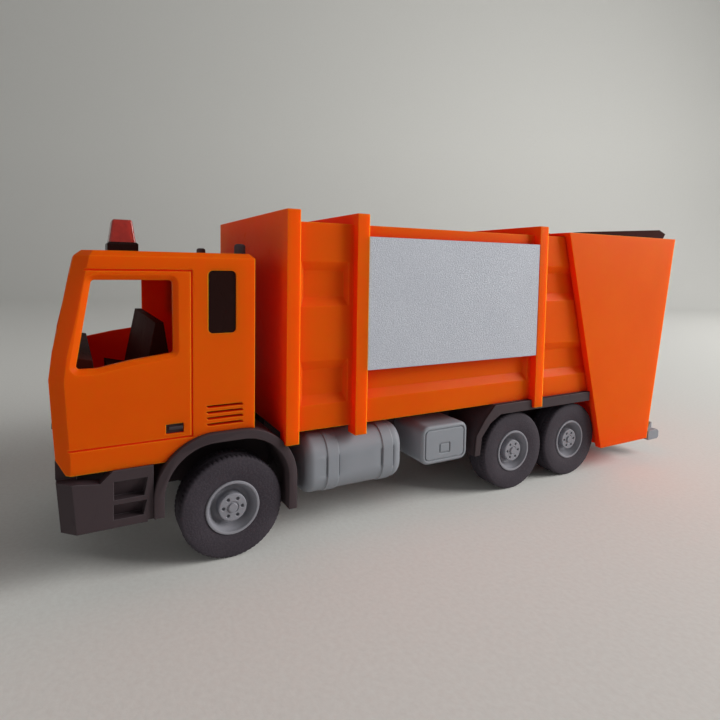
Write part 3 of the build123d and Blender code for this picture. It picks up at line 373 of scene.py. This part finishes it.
# over the top to the rear, then back inside: station behind the bumper's face and height, both in mm
LIP_OUTER = ((101.6, 13.1), (102.1, 19.0), (105.3, 23.5), (109.0, 27.3), (123.7, 27.3), (123.7, 24.95),
             (127.3, 24.95), (127.3, 27.3), (150.1, 27.3))
LIP_INNER = ((150.1, 24.3), (111.2, 24.3), (107.4, 22.2), (104.2, 18.4), (103.6, 13.1))


def plate(outline, x_in, x_out):
    """Prism: the (station, height) outline in mm at x_in and again at x_out, joined by quads."""
    line = np.array(outline) / 1000 - (MIDDLE_STATION, 0.0)
    count = len(line)
    points = np.concatenate([np.column_stack((np.full(count, x), line)) for x in (x_in, x_out)])
    near = np.arange(count)
    after = (near + 1) % count
    sides = np.stack((near, after, after + count, near + count), 1)
    return points, list(sides) + [near[::-1], near + count]


for side, sign in SIDES:
    outer_x = max(abs(corner.x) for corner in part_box("rear_mudguard_" + side)) + LIP_PROUD
    points, faces = plate(LIP_OUTER + LIP_INNER, outer_x - LIP_WIDE, outer_x)
    lip = show_mesh("mudguard_lip_" + side, points * (sign, 1, 1), faces, [dark_plastic], "truck",
                    sharp_deg=30)
    rounding = lip.modifiers.new("rounded_edges", "BEVEL")
    rounding.width = LIP_EDGE
    rounding.segments = 2
    rounding.limit_method = "ANGLE"

# ---- Beacon lens
# Hollow red cap of clear dyed plastic on the black foot, its faces tapered and its edges rounded.
# Inside stands a short pale reflector post.
LENS_RED = (0.62, 0.035, 0.018)
LENS_STREAK = (0.42, 0.02, 0.012)
LENS_EDGE = 0.0005
LENS_WALL = 0.0007
LENS_LEAN = (0.0014, 0.0016)
REFLECTOR = (0.45, 0.40, 0.36)
# Lighter colour painted on the edges as highlight.
REFLECTOR_EDGE_HIGHLIGHT = (0.6, 0.5, 0.45)
REFLECTOR_THIN = (0.4, 0.33, 0.3)
POST_LOW_GAP = (0.0024, 0.0018, 0.0)
POST_HIGH_GAP = (0.0024, 0.0018, 0.0022)
POST_TOP_SHARE = 0.7
POST_EDGE = 0.0003

lens_red, tree, finish = new_material("clear_red_plastic")
place = node(tree, "TexCoord", {}).outputs["Object"]
streak = node(tree, "TexNoise", {"Vector": place, "Scale": 900.0, "Detail": 3.0}).outputs[0]
tree.links.new(mixed(tree, spread(tree, streak, 0.35, 0.7, 0.0, 0.5), (*LENS_RED, 1), (*LENS_STREAK, 1)),
               finish.inputs["Base Color"])
tree.links.new(spread(tree, streak, 0.3, 0.7, 0.1, 0.2), finish.inputs["Roughness"])
tree.links.new(node(tree, "Bump", {"Height": streak, "Distance": 0.00004, "Strength": 0.5}).outputs[0],
               finish.inputs["Normal"])
finish.inputs["Transmission Weight"].default_value = 0.55
finish.inputs["IOR"].default_value = 1.49


def tapered_block(low, high, foot, top, edge, rows=6):
    """Rounded rectangle rings from foot to top, with corners of the edge radius. With t from 0 to a quarter
    turn, the last rings lie edge * (1 - sin t) below the top and edge * (1 - cos t) further in."""
    middle = (low + high) / 2
    bend = np.linspace(0, np.pi / 2, rows)
    heights = np.concatenate(([low[2]], high[2] - edge * (1 - np.sin(bend))))
    insets = np.concatenate(([0.0], edge * (1 - np.cos(bend))))
    rings = []
    for height, inset in zip(heights, insets):
        share = (height - low[2]) / (high[2] - low[2])
        half = (foot * (1 - share) + top * share) / 2 - inset
        radius = max(edge - inset, edge * 0.15)
        turns = [np.stack((sx * (half[0] - radius) + radius * np.cos(bend + quarter_turns * np.pi / 2),
                           sy * (half[1] - radius) + radius * np.sin(bend + quarter_turns * np.pi / 2)), 1)
                 for quarter_turns, (sx, sy) in enumerate(((1, 1), (-1, 1), (-1, -1), (1, -1)))]
        ring = np.concatenate(turns)
        rings.append(np.column_stack((ring + middle[:2], np.full(len(ring), height))))
    sides = len(rings[0])
    faces = list(ring_faces(len(rings), sides, False))
    faces += [np.arange(sides)[::-1], np.arange(sides) + sides * (len(rings) - 1)]
    return np.concatenate(rings), faces


lens_low, lens_high = (np.array(corner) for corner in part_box("beacon_lens"))
lens_foot = (lens_high - lens_low)[:2]
lens_top = lens_foot - LENS_LEAN
outer, outer_faces = tapered_block(lens_low, lens_high, lens_foot, lens_top, LENS_EDGE)
wall = np.array((LENS_WALL, LENS_WALL, 0.0))
inner, inner_faces = tapered_block(lens_low + wall, lens_high - wall - (0, 0, LENS_WALL),
                                   lens_foot - 2 * LENS_WALL, lens_top - 2 * LENS_WALL, LENS_EDGE)
lens_faces = outer_faces[:-2] + [outer_faces[-1]] + [face[::-1] + len(outer) for face in inner_faces[:-2]]
lens_faces.append(inner_faces[-1][::-1] + len(outer))
side_count = len(outer_faces[-1])
lens_faces += [(j, (j + 1) % side_count, len(outer) + (j + 1) % side_count, len(outer) + j)[::-1]
               for j in range(side_count)]
show_mesh("beacon_cap", np.concatenate((outer, inner)), lens_faces, [lens_red], "truck",
          ("beacon_lens",))
reflector_grey, _, _ = moulded_plastic("reflector_plastic", REFLECTOR, REFLECTOR_EDGE_HIGHLIGHT, REFLECTOR_THIN,
                                       roughness=0.3, grain_mm=0.3, grain_depth_mm=0.005)
post_low, post_high = lens_low + POST_LOW_GAP, lens_high - POST_HIGH_GAP
post_foot = (post_high - post_low)[:2]
post, post_faces = tapered_block(post_low, post_high, post_foot, post_foot * POST_TOP_SHARE, POST_EDGE)
show_mesh("beacon_reflector", post, post_faces, [reflector_grey], "truck")

# ---- Head lamps
# Two blocks of clear plastic glued in the bumper's pockets.
# Upright flutes are moulded in each one's face.
LAMP_WIDE = 0.007
LAMP_FLUTES = 9
FLUTE_DEPTH = 0.00018
LAMP_HAZE = (0.62, 0.64, 0.67)
LAMP_BRIGHT = (0.78, 0.8, 0.82)

lamp_clear, tree, finish = new_material("clear_lamp_plastic")
place = node(tree, "TexCoord", {}).outputs["Object"]
haze = node(tree, "TexNoise", {"Vector": place, "Scale": 700.0, "Detail": 3.0}).outputs[0]
tree.links.new(mixed(tree, haze, (*LAMP_HAZE, 1), (*LAMP_BRIGHT, 1)), finish.inputs["Base Color"])
tree.links.new(spread(tree, haze, 0.3, 0.7, 0.08, 0.18), finish.inputs["Roughness"])
tree.links.new(node(tree, "Bump", {"Height": haze, "Distance": 0.00002, "Strength": 0.5}).outputs[0],
               finish.inputs["Normal"])
finish.inputs["Coat Weight"].default_value = 0.5


def fluted_block(low, high, flutes, depth, columns=91):
    """Block whose -Y face waves: y = low + depth * (1 - |cos(pi * flutes * u)|), u from 0 to 1 across."""
    u = np.linspace(0, 1, columns)
    x = low[0] + u * (high[0] - low[0])
    front = low[1] + depth * (1 - np.abs(np.cos(np.pi * flutes * u)))
    rows = [np.stack((x, y, np.full(columns, z)), 1)
            for y, z in ((np.full(columns, high[1]), low[2]), (front, low[2]), (front, high[2]),
                         (np.full(columns, high[1]), high[2]))]
    i, j = np.meshgrid(np.arange(4), np.arange(columns - 1), indexing="ij")
    i, j, following = i.ravel(), j.ravel(), ((i + 1) % 4).ravel()
    quads = np.stack((i * columns + j, i * columns + j + 1, following * columns + j + 1,
                      following * columns + j), 1)
    ends = [np.arange(4)[::-1] * columns, np.arange(4) * columns + columns - 1]
    return np.concatenate(rows), list(quads) + ends


lamp_low, lamp_high = (np.array(corner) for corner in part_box("head_lamps"))
points, faces = [], []
for x0 in (lamp_low[0], lamp_high[0] - LAMP_WIDE):
    block, block_faces = fluted_block((x0, *lamp_low[1:]), (x0 + LAMP_WIDE, *lamp_high[1:]), LAMP_FLUTES,
                                      FLUTE_DEPTH)
    faces += [face + len(block) * len(points) for face in block_faces]
    points.append(block)
show_mesh("head_lamp_pair", np.concatenate(points), faces, [lamp_clear], "truck",
          ("head_lamps",), sharp_deg=50)

# ---- Tyres
# Six soft dark plastic tyres pressed on their rims: flat stippled side walls, square shoulders and
# a tread of small staggered lugs with two grooves round it.
TYRE_DARK = (0.040, 0.033, 0.043)
TYRE_DUST = (0.085, 0.073, 0.088)
TREAD_LUGS = 66
TREAD_SIDES = TREAD_LUGS * 6
TREAD_DEPTH = 0.00016
TREAD_GROOVE_AT = 0.0011
TREAD_GROOVE_HALF = 0.00022
SHOULDER_ROUND = 0.0009
BEAD_SINK = 0.0004
BEAD_OVERLAP = 0.00005
WALL_CREST = 0.55
WALL_SINK = 0.00015
AXLES = ("front", "middle", "rear")

tyre_plastic, tree, finish = new_material("stippled_tyre_plastic")
place = node(tree, "TexCoord", {}).outputs["Object"]
pits = node(tree, "TexNoise", {"Vector": place, "Scale": 2300.0, "Detail": 2.0,
                               "Roughness": 0.7}).outputs[0]
dust = node(tree, "TexNoise", {"Vector": place, "Scale": 130.0, "Detail": 4.0}).outputs[0]
specks = spread(tree, pits, 0.45, 0.65, 0.0, 0.3)
worn = mixed(tree, specks, (*TYRE_DARK, 1), (*TYRE_DUST, 1))
tree.links.new(mixed(tree, spread(tree, dust, 0.45, 0.7, 0.0, 0.2), worn, (*TYRE_DUST, 1)),
               finish.inputs["Base Color"])
tree.links.new(spread(tree, dust, 0.3, 0.7, 0.62, 0.76), finish.inputs["Roughness"])
tree.links.new(node(tree, "Bump", {"Height": pits, "Distance": 0.0001, "Strength": 0.8}).outputs[0],
               finish.inputs["Normal"])
finish.inputs["Specular IOR Level"].default_value = 0.2


def tyre_profile(rim_r, tyre_r, width):
    """Closed section of a tyre as (depth behind the outer plane, radius) and how much of the tread's relief
    each point takes. The side wall swells as a parabola, the shoulder is a quarter circle."""
    crest = rim_r + WALL_CREST * (tyre_r - rim_r)
    wall = np.linspace(rim_r, tyre_r - SHOULDER_ROUND, 16)
    swell = np.where(wall < crest, BEAD_SINK * ((crest - wall) / (crest - rim_r)) ** 2,
                     WALL_SINK * ((wall - crest) / (tyre_r - SHOULDER_ROUND - crest)) ** 2)
    bend = np.linspace(0, np.pi / 2, 8)[1:]
    shoulder = np.stack((swell[-1] + SHOULDER_ROUND * (1 - np.cos(bend)),
                         tyre_r - SHOULDER_ROUND * (1 - np.sin(bend))), 1)
    tread = np.linspace(shoulder[-1, 0], width / 2, 14)[1:]
    half = np.concatenate((np.stack((swell, wall), 1), shoulder, np.stack((tread, np.full(13, tyre_r)), 1)))
    relief = np.concatenate((np.zeros(16), np.clip(np.sin(bend) * 2 - 1, 0, 1), np.ones(13)))
    back = half[-2::-1] * (-1, 1) + (width, 0)
    return np.concatenate((half, back)), np.concatenate((relief, relief[-2::-1]))


def tread_cut(depth, angle, width):
    """Depth of the tread's cuts, 0 to 1: slanted notches where a cosine round the tyre is high, staggered
    between the two halves, and two bands round it at a fixed distance from the middle."""
    across = depth - width / 2
    slant = 0.35 * np.abs(across) / (width / 2) + 0.5 * (across > 0)
    notch = np.clip((np.cos(TREAD_LUGS * angle + 2 * np.pi * slant) - 0.35) / 0.4, 0, 1)
    notch = notch * (np.abs(across) > TREAD_GROOVE_AT)
    band = np.exp(-(((np.abs(across) - TREAD_GROOVE_AT) / TREAD_GROOVE_HALF) ** 4))
    return np.maximum(notch, band)


def wheel_rings(profile, sides, drop=0.0):
    """Rings about X: point (i, j) is radius_i, less the drop, turned to the angle of side j, at depth_i."""
    angle = np.linspace(0, 2 * np.pi, sides, endpoint=False)
    radius = profile[:, 1:] - drop
    return np.stack((np.broadcast_to(-profile[:, :1], (len(profile), sides)), radius * np.cos(angle),
                     radius * np.sin(angle)), 2)


tyre_low, tyre_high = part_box("tyre_front_left")
rim_low, rim_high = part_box("rim_front_left")
tyre_r, rim_r = (tyre_high.z - tyre_low.z) / 2, (rim_high.z - rim_low.z) / 2
tyre_width = tyre_high.x - tyre_low.x
tyre_section, tread_relief = tyre_profile(rim_r - BEAD_OVERLAP, tyre_r, tyre_width)
tread_angle = np.linspace(0, 2 * np.pi, TREAD_SIDES, endpoint=False)
cut = TREAD_DEPTH * tread_relief[:, None] * tread_cut(tyre_section[:, :1], tread_angle, tyre_width)
tyre_points = wheel_rings(tyre_section, TREAD_SIDES, cut).reshape(-1, 3)
tyre_faces = ring_faces(len(tyre_section), TREAD_SIDES, True)
for axle in AXLES:
    for side, sign in SIDES:
        name = "tyre_" + axle + "_" + side
        low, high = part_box(name)
        outer_x = high.x if sign > 0 else -low.x
        centre = np.array((outer_x, (low.y + high.y) / 2, (low.z + high.z) / 2))
        show_mesh(name + "_tread", (tyre_points + centre) * (sign, 1, 1), tyre_faces, [tyre_plastic],
                  axle + "_wheels", (name,), sharp_deg=40)

# ---- Rims
# Six pale grey rims: a rounded bright lip, a deep dish, and a hub drum almost flush with the tyre.
# The hub's face has six round pockets and a boss in a shallow ring, all moulded in one.
RIM_GREY = (0.265, 0.265, 0.3)
# Lighter grey painted on the edges as highlight.
RIM_EDGE_HIGHLIGHT = (0.50, 0.51, 0.56)
RIM_SHADE = (0.18, 0.182, 0.21)
RIM_SIDES = 168
STUD_COUNT = 6
STUD_CIRCLE_R = 0.00215
STUD_R = 0.00036
STUD_DEPTH = 0.0007
STUD_SLOPE = 0.00008
HUB_INNER_R = 0.0014
HUB_OUTER_R = 0.003
HUB_FACE_DEPTH = 0.001
FACE_STEP = 0.09
BACK_STEP = 4.0
# face line from the middle outwards: radius, depth behind the tyre's outer plane, rounding of that point
RIM_LINE = ((0.0, 0.05, 0.0), (1.0, 0.05, 0.1), (1.05, 0.55, 0.05), (1.3, 0.55, 0.05), (1.38, 0.4, 0.08),
            (3.2, 0.4, 0.25), (3.25, 2.9, 0.5), (4.2, 3.0, 0.5), (5.45, 0.75, 0.4), (5.55, 0.1, 0.15),
            (6.15, 0.05, 0.2), (6.2, 0.5, 0.1), (6.2, 7.0, 0.3), (1.2, 7.0, 0.1), (1.2, 6.0, 0.0))

rim_plastic, _, _ = moulded_plastic("rim_grey_plastic", RIM_GREY, RIM_EDGE_HIGHLIGHT, RIM_SHADE,
                                    roughness=0.42, grain_mm=0.15, grain_depth_mm=0.006, edge_mm=0.2)


def rounded_line(corners, step):
    """Open line through corners. Each corner b becomes the curve (1-t)^2 a + 2t(1-t) b + t^2 c, where a and
    c lie its rounding away, and straight parts are divided into short steps."""
    corners = np.array(corners)
    points = [corners[0, :2]]
    for k in range(1, len(corners) - 1):
        here, reach = corners[k, :2], corners[k, 2]
        ends = [here + (corners[n, :2] - here) * min(reach / np.linalg.norm(corners[n, :2] - here), 0.49)
                for n in (k - 1, k + 1)]
        t = np.linspace(0, 1, 7)[:, None]
        points += list((1 - t) ** 2 * ends[0] + 2 * t * (1 - t) * here + t ** 2 * ends[1])
    points.append(corners[-1, :2])
    dense = [points[0]]
    for start, end in zip(points, points[1:]):
        parts = max(1, int(np.linalg.norm(end - start) / step))
        dense += [start + (end - start) * (n + 1) / parts for n in range(parts)]
    return np.array(dense)


face_line = rounded_line(RIM_LINE[:12], FACE_STEP)
back_line = rounded_line(RIM_LINE[11:], BACK_STEP)[1:]
rim_line = np.concatenate((face_line[1:], back_line)) / 1000
rim_rings = wheel_rings(rim_line[:, ::-1], RIM_SIDES)
stud_angle = np.arange(STUD_COUNT) * 2 * np.pi / STUD_COUNT
stud_place = np.stack((np.cos(stud_angle), np.sin(stud_angle)), 1) * STUD_CIRCLE_R
from_stud = np.linalg.norm(rim_rings[:, :, None, 1:] - stud_place, axis=3).min(axis=2)
on_hub = (rim_line[:, 0] > HUB_INNER_R) & (rim_line[:, 0] < HUB_OUTER_R)
on_hub &= rim_line[:, 1] < HUB_FACE_DEPTH
pocket = STUD_DEPTH * np.clip((STUD_R - from_stud) / STUD_SLOPE + 0.5, 0, 1) * on_hub[:, None]
rim_rings[:, :, 0] -= pocket
rim_points = rim_rings.reshape(-1, 3)
rim_faces = list(ring_faces(len(rim_line), RIM_SIDES, False))
rim_faces += [np.arange(RIM_SIDES)[::-1], np.arange(len(rim_points) - RIM_SIDES, len(rim_points))]
for axle in AXLES:
    for side, sign in SIDES:
        name = "rim_" + axle + "_" + side
        low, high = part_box("tyre_" + axle + "_" + side)
        outer_x = high.x if sign > 0 else -low.x
        centre = np.array((outer_x, (low.y + high.y) / 2, (low.z + high.z) / 2))
        show_mesh(name + "_dish", (rim_points + centre) * (sign, 1, 1), rim_faces, [rim_plastic],
                  axle + "_wheels", (name,), sharp_deg=50)

# ---- Steel axles and pins
# Three axles, the tailgate's and guard frame's hinge pins and the bin lift's long pin.
# All are plain drawn steel rod, pressed into the moving part.
STEEL_DULL = (0.42, 0.42, 0.43)
STEEL_BRIGHT = (0.58, 0.57, 0.56)

steel, tree, finish = new_material("drawn_steel")
place = node(tree, "TexCoord", {}).outputs["Object"]
along = node(tree, "Mapping", {"Vector": place, "Scale": (40.0, 4000.0, 4000.0)}).outputs[0]
drawn = node(tree, "TexNoise", {"Vector": along, "Scale": 1.0, "Detail": 4.0}).outputs[0]
tree.links.new(mixed(tree, drawn, (*STEEL_DULL, 1), (*STEEL_BRIGHT, 1)), finish.inputs["Base Color"])
tree.links.new(spread(tree, drawn, 0.3, 0.7, 0.22, 0.4), finish.inputs["Roughness"])
tree.links.new(node(tree, "Bump", {"Height": drawn, "Distance": 0.00001, "Strength": 0.6}).outputs[0],
               finish.inputs["Normal"])
finish.inputs["Metallic"].default_value = 1.0
finish_nodes(("axle_front", "axle_middle", "axle_rear", "tailgate_pins", "guard_pins", "lift_pin"), steel)

# ---- Fuel tanks
# A pale grey D-shaped tank hangs beside each rail, held by two straps with a groove on both sides.
# Tank and straps are one moulding; its ends are rounded.
TANK_GREY = (0.27, 0.29, 0.325)
# Lighter grey painted on the edges as highlight.
TANK_EDGE_HIGHLIGHT = (0.5, 0.52, 0.56)
TANK_SHADE = (0.21, 0.222, 0.25)
TANK_ROUND = 0.0056
TANK_END_ROUND = 0.0022
TANK_FRONT_GAP = 0.0026
STRAP_PROUD = 0.00025
STRAPS = (0.0081, 0.0239)
STRAP_WIDE = 0.003
STRAP_SLOPE = 0.00006
GROOVE_WIDE = 0.00032
GROOVE_DEEP = 0.00055
GROOVE_OVERRUN = 0.0008
GROOVE_FADE = 0.0006

grey_plastic, _, _ = moulded_plastic("grey_moulded_plastic", TANK_GREY, TANK_EDGE_HIGHLIGHT, TANK_SHADE,
                                     roughness=0.45, grain_mm=0.2, grain_depth_mm=0.008)


def tank_section(x0, x1, z0, z1, radius, steps=18):
    """Closed outline of the tank's cross section with its outward normals: flat at x0, with two quarter
    circles of the radius between the level parts and the upright face at x1."""
    bend = np.linspace(0, np.pi / 2, steps)
    upright = np.linspace(z1 - radius, z0 + radius, 24)[1:-1]
    level = np.linspace(x0, x1 - radius, 5)[:-1]
    out, over = np.sin(bend), np.cos(bend)
    centre_x = x1 - radius
    parts = [(level, np.full(4, z1), np.zeros(4), np.ones(4)),
             (centre_x + radius * out, z1 - radius + radius * over, out, over),
             (np.full(22, x1), upright, np.ones(22), np.zeros(22)),
             (centre_x + radius * over, z0 + radius - radius * out, over, -out),
             (level[::-1], np.full(4, z0), np.zeros(4), -np.ones(4))]
    x, z, nx, nz = (np.concatenate([part[k] for part in parts]) for k in range(4))
    return np.stack((x, z), 1), np.stack((nx, nz), 1)


tank_low, tank_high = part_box("fuel_tank_left")
length = tank_high.y - tank_low.y
out_x, foot_z = tank_high.x - STRAP_PROUD, tank_low.z + STRAP_PROUD
section, section_normal = tank_section(tank_low.x, out_x, foot_z, tank_high.z, TANK_ROUND)
bend_depth = TANK_END_ROUND * (1 - np.cos(np.linspace(0, np.pi / 2, 13)))
stations = [np.linspace(TANK_FRONT_GAP, length, 12), TANK_FRONT_GAP + bend_depth, length - bend_depth]
for start in STRAPS:
    for edge in (start, start + STRAP_WIDE):
        stations.append(edge + np.linspace(-GROOVE_WIDE, GROOVE_WIDE, 9))
station = np.unique(np.round(np.concatenate(stations), 7))
to_end = np.clip(np.minimum(station - TANK_FRONT_GAP, length - station), 0, TANK_END_ROUND)
end_inset = TANK_END_ROUND - np.sqrt(TANK_END_ROUND ** 2 - (TANK_END_ROUND - to_end) ** 2)
on_strap = sum(np.clip(1 - (np.abs(station - start - STRAP_WIDE / 2) - STRAP_WIDE / 2) / STRAP_SLOPE, 0, 1)
               for start in STRAPS)
groove_places = [start + shift for start in STRAPS
                 for shift in (-GROOVE_WIDE / 2, STRAP_WIDE + GROOVE_WIDE / 2)]
groove = sum(np.exp(-(((station - place) / (GROOVE_WIDE / 2)) ** 4)) for place in groove_places)
middle_z, reach = (foot_z + tank_high.z) / 2, (tank_high.z - foot_z) / 2 - TANK_ROUND + GROOVE_OVERRUN
on_face = np.clip((reach - np.abs(section[:, 1] - middle_z)) / GROOVE_FADE, 0, 1)
on_face = on_face * (section_normal[:, 0] > 0.9)
offset = (STRAP_PROUD * on_strap - end_inset)[:, None] - GROOVE_DEEP * groove[:, None] * on_face
grid = section + offset[:, :, None] * section_normal
tank_points = np.stack((grid[:, :, 0], np.broadcast_to((tank_low.y + station)[:, None], grid.shape[:2]),
                        grid[:, :, 1]), 2).reshape(-1, 3)
tank_faces = list(ring_faces(len(station), len(section), False))
tank_faces += [np.arange(len(section))[::-1], np.arange(len(tank_points) - len(section), len(tank_points))]
for side, sign in SIDES:
    show_mesh("fuel_tank_" + side + "_body", tank_points * (sign, 1, 1), tank_faces, [grey_plastic],
              "truck", ("fuel_tank_" + side,), sharp_deg=38)

# ---- Tool boxes
# A closed locker beside each rail behind the tank, moulded in the same grey, its outer face well rounded.
# A groove draws the door, and a small square groove the latch.
BOX_FORWARD = 0.0013
BOX_CORNER = 0.0024
BOX_ROUND = 0.0008
DOOR_INSET = 0.0012
SEAM_HALF = 0.00017
SEAM_DEEP = 0.0004
# latch along the truck and upwards, from the face's lower front corner
LATCH_LOW = (0.0061, 0.0029)
LATCH_SIZE = (0.0034, 0.0026)
LATCH_CORNER = 0.0003


def rounded_rectangle(low, high, radius):
    """Closed line of quarter circles joined by straight sides, each side in ten parts."""
    bend = np.linspace(0, np.pi / 2, 9)
    arcs = []
    for k, (sx, sy) in enumerate(((1, 1), (0, 1), (0, 0), (1, 0))):
        centre = (high[0] - radius if sx else low[0] + radius, high[1] - radius if sy else low[1] + radius)
        angle = bend + k * np.pi / 2
        arcs.append(centre + radius * np.stack((np.cos(angle), np.sin(angle)), 1))
    parts = []
    for arc, following in zip(arcs, arcs[1:] + arcs[:1]):
        share = np.linspace(0, 1, 11)[1:-1, None]
        parts += [arc, arc[-1] * (1 - share) + following[0] * share]
    return np.concatenate(parts)


tool_low, tool_high = (np.array(corner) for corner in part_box("tool_box_left"))
face_low, face_high = tool_low[1:] - (BOX_FORWARD, 0), tool_high[1:]
latch_low = face_low + LATCH_LOW
latch_high = latch_low + LATCH_SIZE
# The face is nested lines, each with an inset and a depth behind the front: a quarter circle round the
# edge, the door's seam as exp(-s^4) of the distance s across it, and the same seam round the latch.
lean = np.linspace(0, np.pi / 2, 7)
across_seam = np.linspace(-1.5, 1.5, 9)
insets = np.concatenate(([0.0], BOX_ROUND * (1 - np.cos(lean)), DOOR_INSET + SEAM_HALF * across_seam))
depths = np.concatenate(([tool_high[0] - tool_low[0]], BOX_ROUND * (1 - np.sin(lean)),
                         SEAM_DEEP * np.exp(-across_seam ** 4)))
outlines = [rounded_rectangle(face_low + inset, face_high - inset, BOX_CORNER - inset) for inset in insets]
latch_lines = [rounded_rectangle(latch_low + inset, latch_high - inset, LATCH_CORNER - inset)
               for inset in SEAM_HALF * across_seam]
between = [outlines[-1] * (1 - share) + latch_lines[0] * share for share in (0.2, 0.4, 0.6, 0.8)]
outlines += between + latch_lines
depths = np.concatenate((depths, np.zeros(len(between)), SEAM_DEEP * np.exp(-across_seam ** 4)))
box_points = np.concatenate([np.column_stack((np.full(len(line), tool_high[0] - depth), line))
                             for line, depth in zip(outlines, depths)])
count = len(outlines[0])
box_faces = list(ring_faces(len(outlines), count, False))
box_faces += [np.arange(count)[::-1], np.arange(len(box_points) - count, len(box_points))]
for side, sign in SIDES:
    show_mesh("tool_box_" + side + "_body", box_points * (sign, 1, 1), box_faces, [grey_plastic], "truck",
              ("tool_box_" + side,), sharp_deg=38)

# ---- Bin lift
# The plate under the hopper and the comb bar that lifts a bin by its rim.
# Both are moulded in the same grey.
finish_nodes(("lift_base", "bin_lift"), grey_plastic)

# ---- Studio
# A sheet of pale paper, level under the truck and curved up behind it, one broad soft lamp behind the
# left side, a weak one low in front, and a dim sky. The cab's front lies in soft shade.
PAPER = (0.80, 0.81, 0.79)
PAPER_FIBRE = (0.76, 0.76, 0.74)
PAPER_REACH = 0.75
PAPER_BEND = 0.35
PAPER_TOP = 1.0
PAPER_HALF = 2.5
SKY_COLOUR = (1.0, 0.985, 0.96)
SKY_LEVEL = 0.30
SKY_OVERHEAD = 0.14
SKY_SEEN = 0.4
LAMP_TOWARD = (0.46, 0.78, 0.42)
LAMP_AWAY = 1.15
LAMP_SIZE = 0.6
LAMP_COLOUR = (1.0, 0.98, 0.95)
LAMP_POWER = 12.8
FILL_TOWARD = (0.35, -0.92, 0.15)
FILL_POWER = 1.3

pale_paper, tree, finish = new_material("pale_paper")
place = node(tree, "TexCoord", {}).outputs["Object"]
fibre = node(tree, "TexNoise", {"Vector": place, "Scale": 900.0, "Detail": 3.0}).outputs[0]
tree.links.new(mixed(tree, spread(tree, fibre, 0.3, 0.7, 0.0, 1.0), (*PAPER, 1), (*PAPER_FIBRE, 1)),
               finish.inputs["Base Color"])
tree.links.new(node(tree, "Bump", {"Height": fibre, "Distance": 0.00008, "Strength": 0.4}).outputs[0],
               finish.inputs["Normal"])
finish.inputs["Roughness"].default_value = 0.8


def paper_sheet(near, reach, bend, top, half):
    """Sheet whose line runs level from near to reach, then round a quarter circle of the bend radius and
    up to its top, carried straight across from -half to half. Depth runs along the camera's level line."""
    arc = np.linspace(0, np.pi / 2, 33)
    depth = np.concatenate(([near], reach + bend * np.sin(arc), [reach + bend]))
    height = np.concatenate(([0.0], bend * (1 - np.cos(arc)), [top]))
    away = np.array((-cos_yaw, sin_yaw, 0.0))
    line = depth[:, None] * away + height[:, None] * (0.0, 0.0, 1.0)
    return np.stack((line - half * level_right, line + half * level_right), 1).reshape(-1, 3)


paper_points = paper_sheet(-PAPER_HALF, PAPER_REACH, PAPER_BEND, PAPER_TOP, PAPER_HALF)
row = np.arange(len(paper_points) // 2 - 1) * 2
paper_mesh = bpy.data.meshes.new("paper_sheet")
paper_mesh.from_pydata(paper_points.tolist(), [], np.stack((row, row + 1, row + 3, row + 2), 1).tolist())
paper_mesh.shade_smooth()
paper_mesh.materials.append(pale_paper)
paper = bpy.data.objects.new("paper_sheet", paper_mesh)
scene.collection.objects.link(paper)
paper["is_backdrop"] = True

sky = bpy.data.worlds.new("studio")
scene.world = sky
sky.use_nodes = True
tree = sky.node_tree
tree.nodes.clear()
path = node(tree, "LightPath", {}).outputs
seen = node(tree, "Math", {0: path["Is Camera Ray"], 1: path["Is Glossy Ray"]}, operation="ADD").outputs[0]
seen = node(tree, "Math", {0: seen, 1: path["Is Transmission Ray"]}, operation="ADD",
            use_clamp=True).outputs[0]
upward = node(tree, "SeparateXYZ", {0: node(tree, "TexCoord", {}).outputs["Generated"]}).outputs[2]
dome = spread(tree, upward, 0.0, 0.8, SKY_LEVEL, SKY_OVERHEAD)
strength = node(tree, "Mix", {0: seen, 2: dome, 3: SKY_SEEN}).outputs[0]
even = node(tree, "Background", {"Color": (*SKY_COLOUR, 1), "Strength": strength}).outputs[0]
node(tree, "OutputWorld", {"Surface": even})

for lamp_name, toward, power in (("soft_lamp", LAMP_TOWARD, LAMP_POWER),
                                 ("fill_lamp", FILL_TOWARD, FILL_POWER)):
    lamp_data = bpy.data.lights.new(lamp_name, "AREA")
    lamp_data.energy = power
    lamp_data.size = LAMP_SIZE
    lamp_data.color = LAMP_COLOUR
    lamp = bpy.data.objects.new(lamp_name, lamp_data)
    scene.collection.objects.link(lamp)
    away = Vector(toward).normalized()
    lamp_turn = away.to_track_quat("Z", "Y").to_matrix().to_4x4()
    lamp.matrix_world = Matrix.Translation(away * LAMP_AWAY) @ lamp_turn

# ---- Sizes
# The box round all shown pieces, the paper backdrop left out.
low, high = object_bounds()
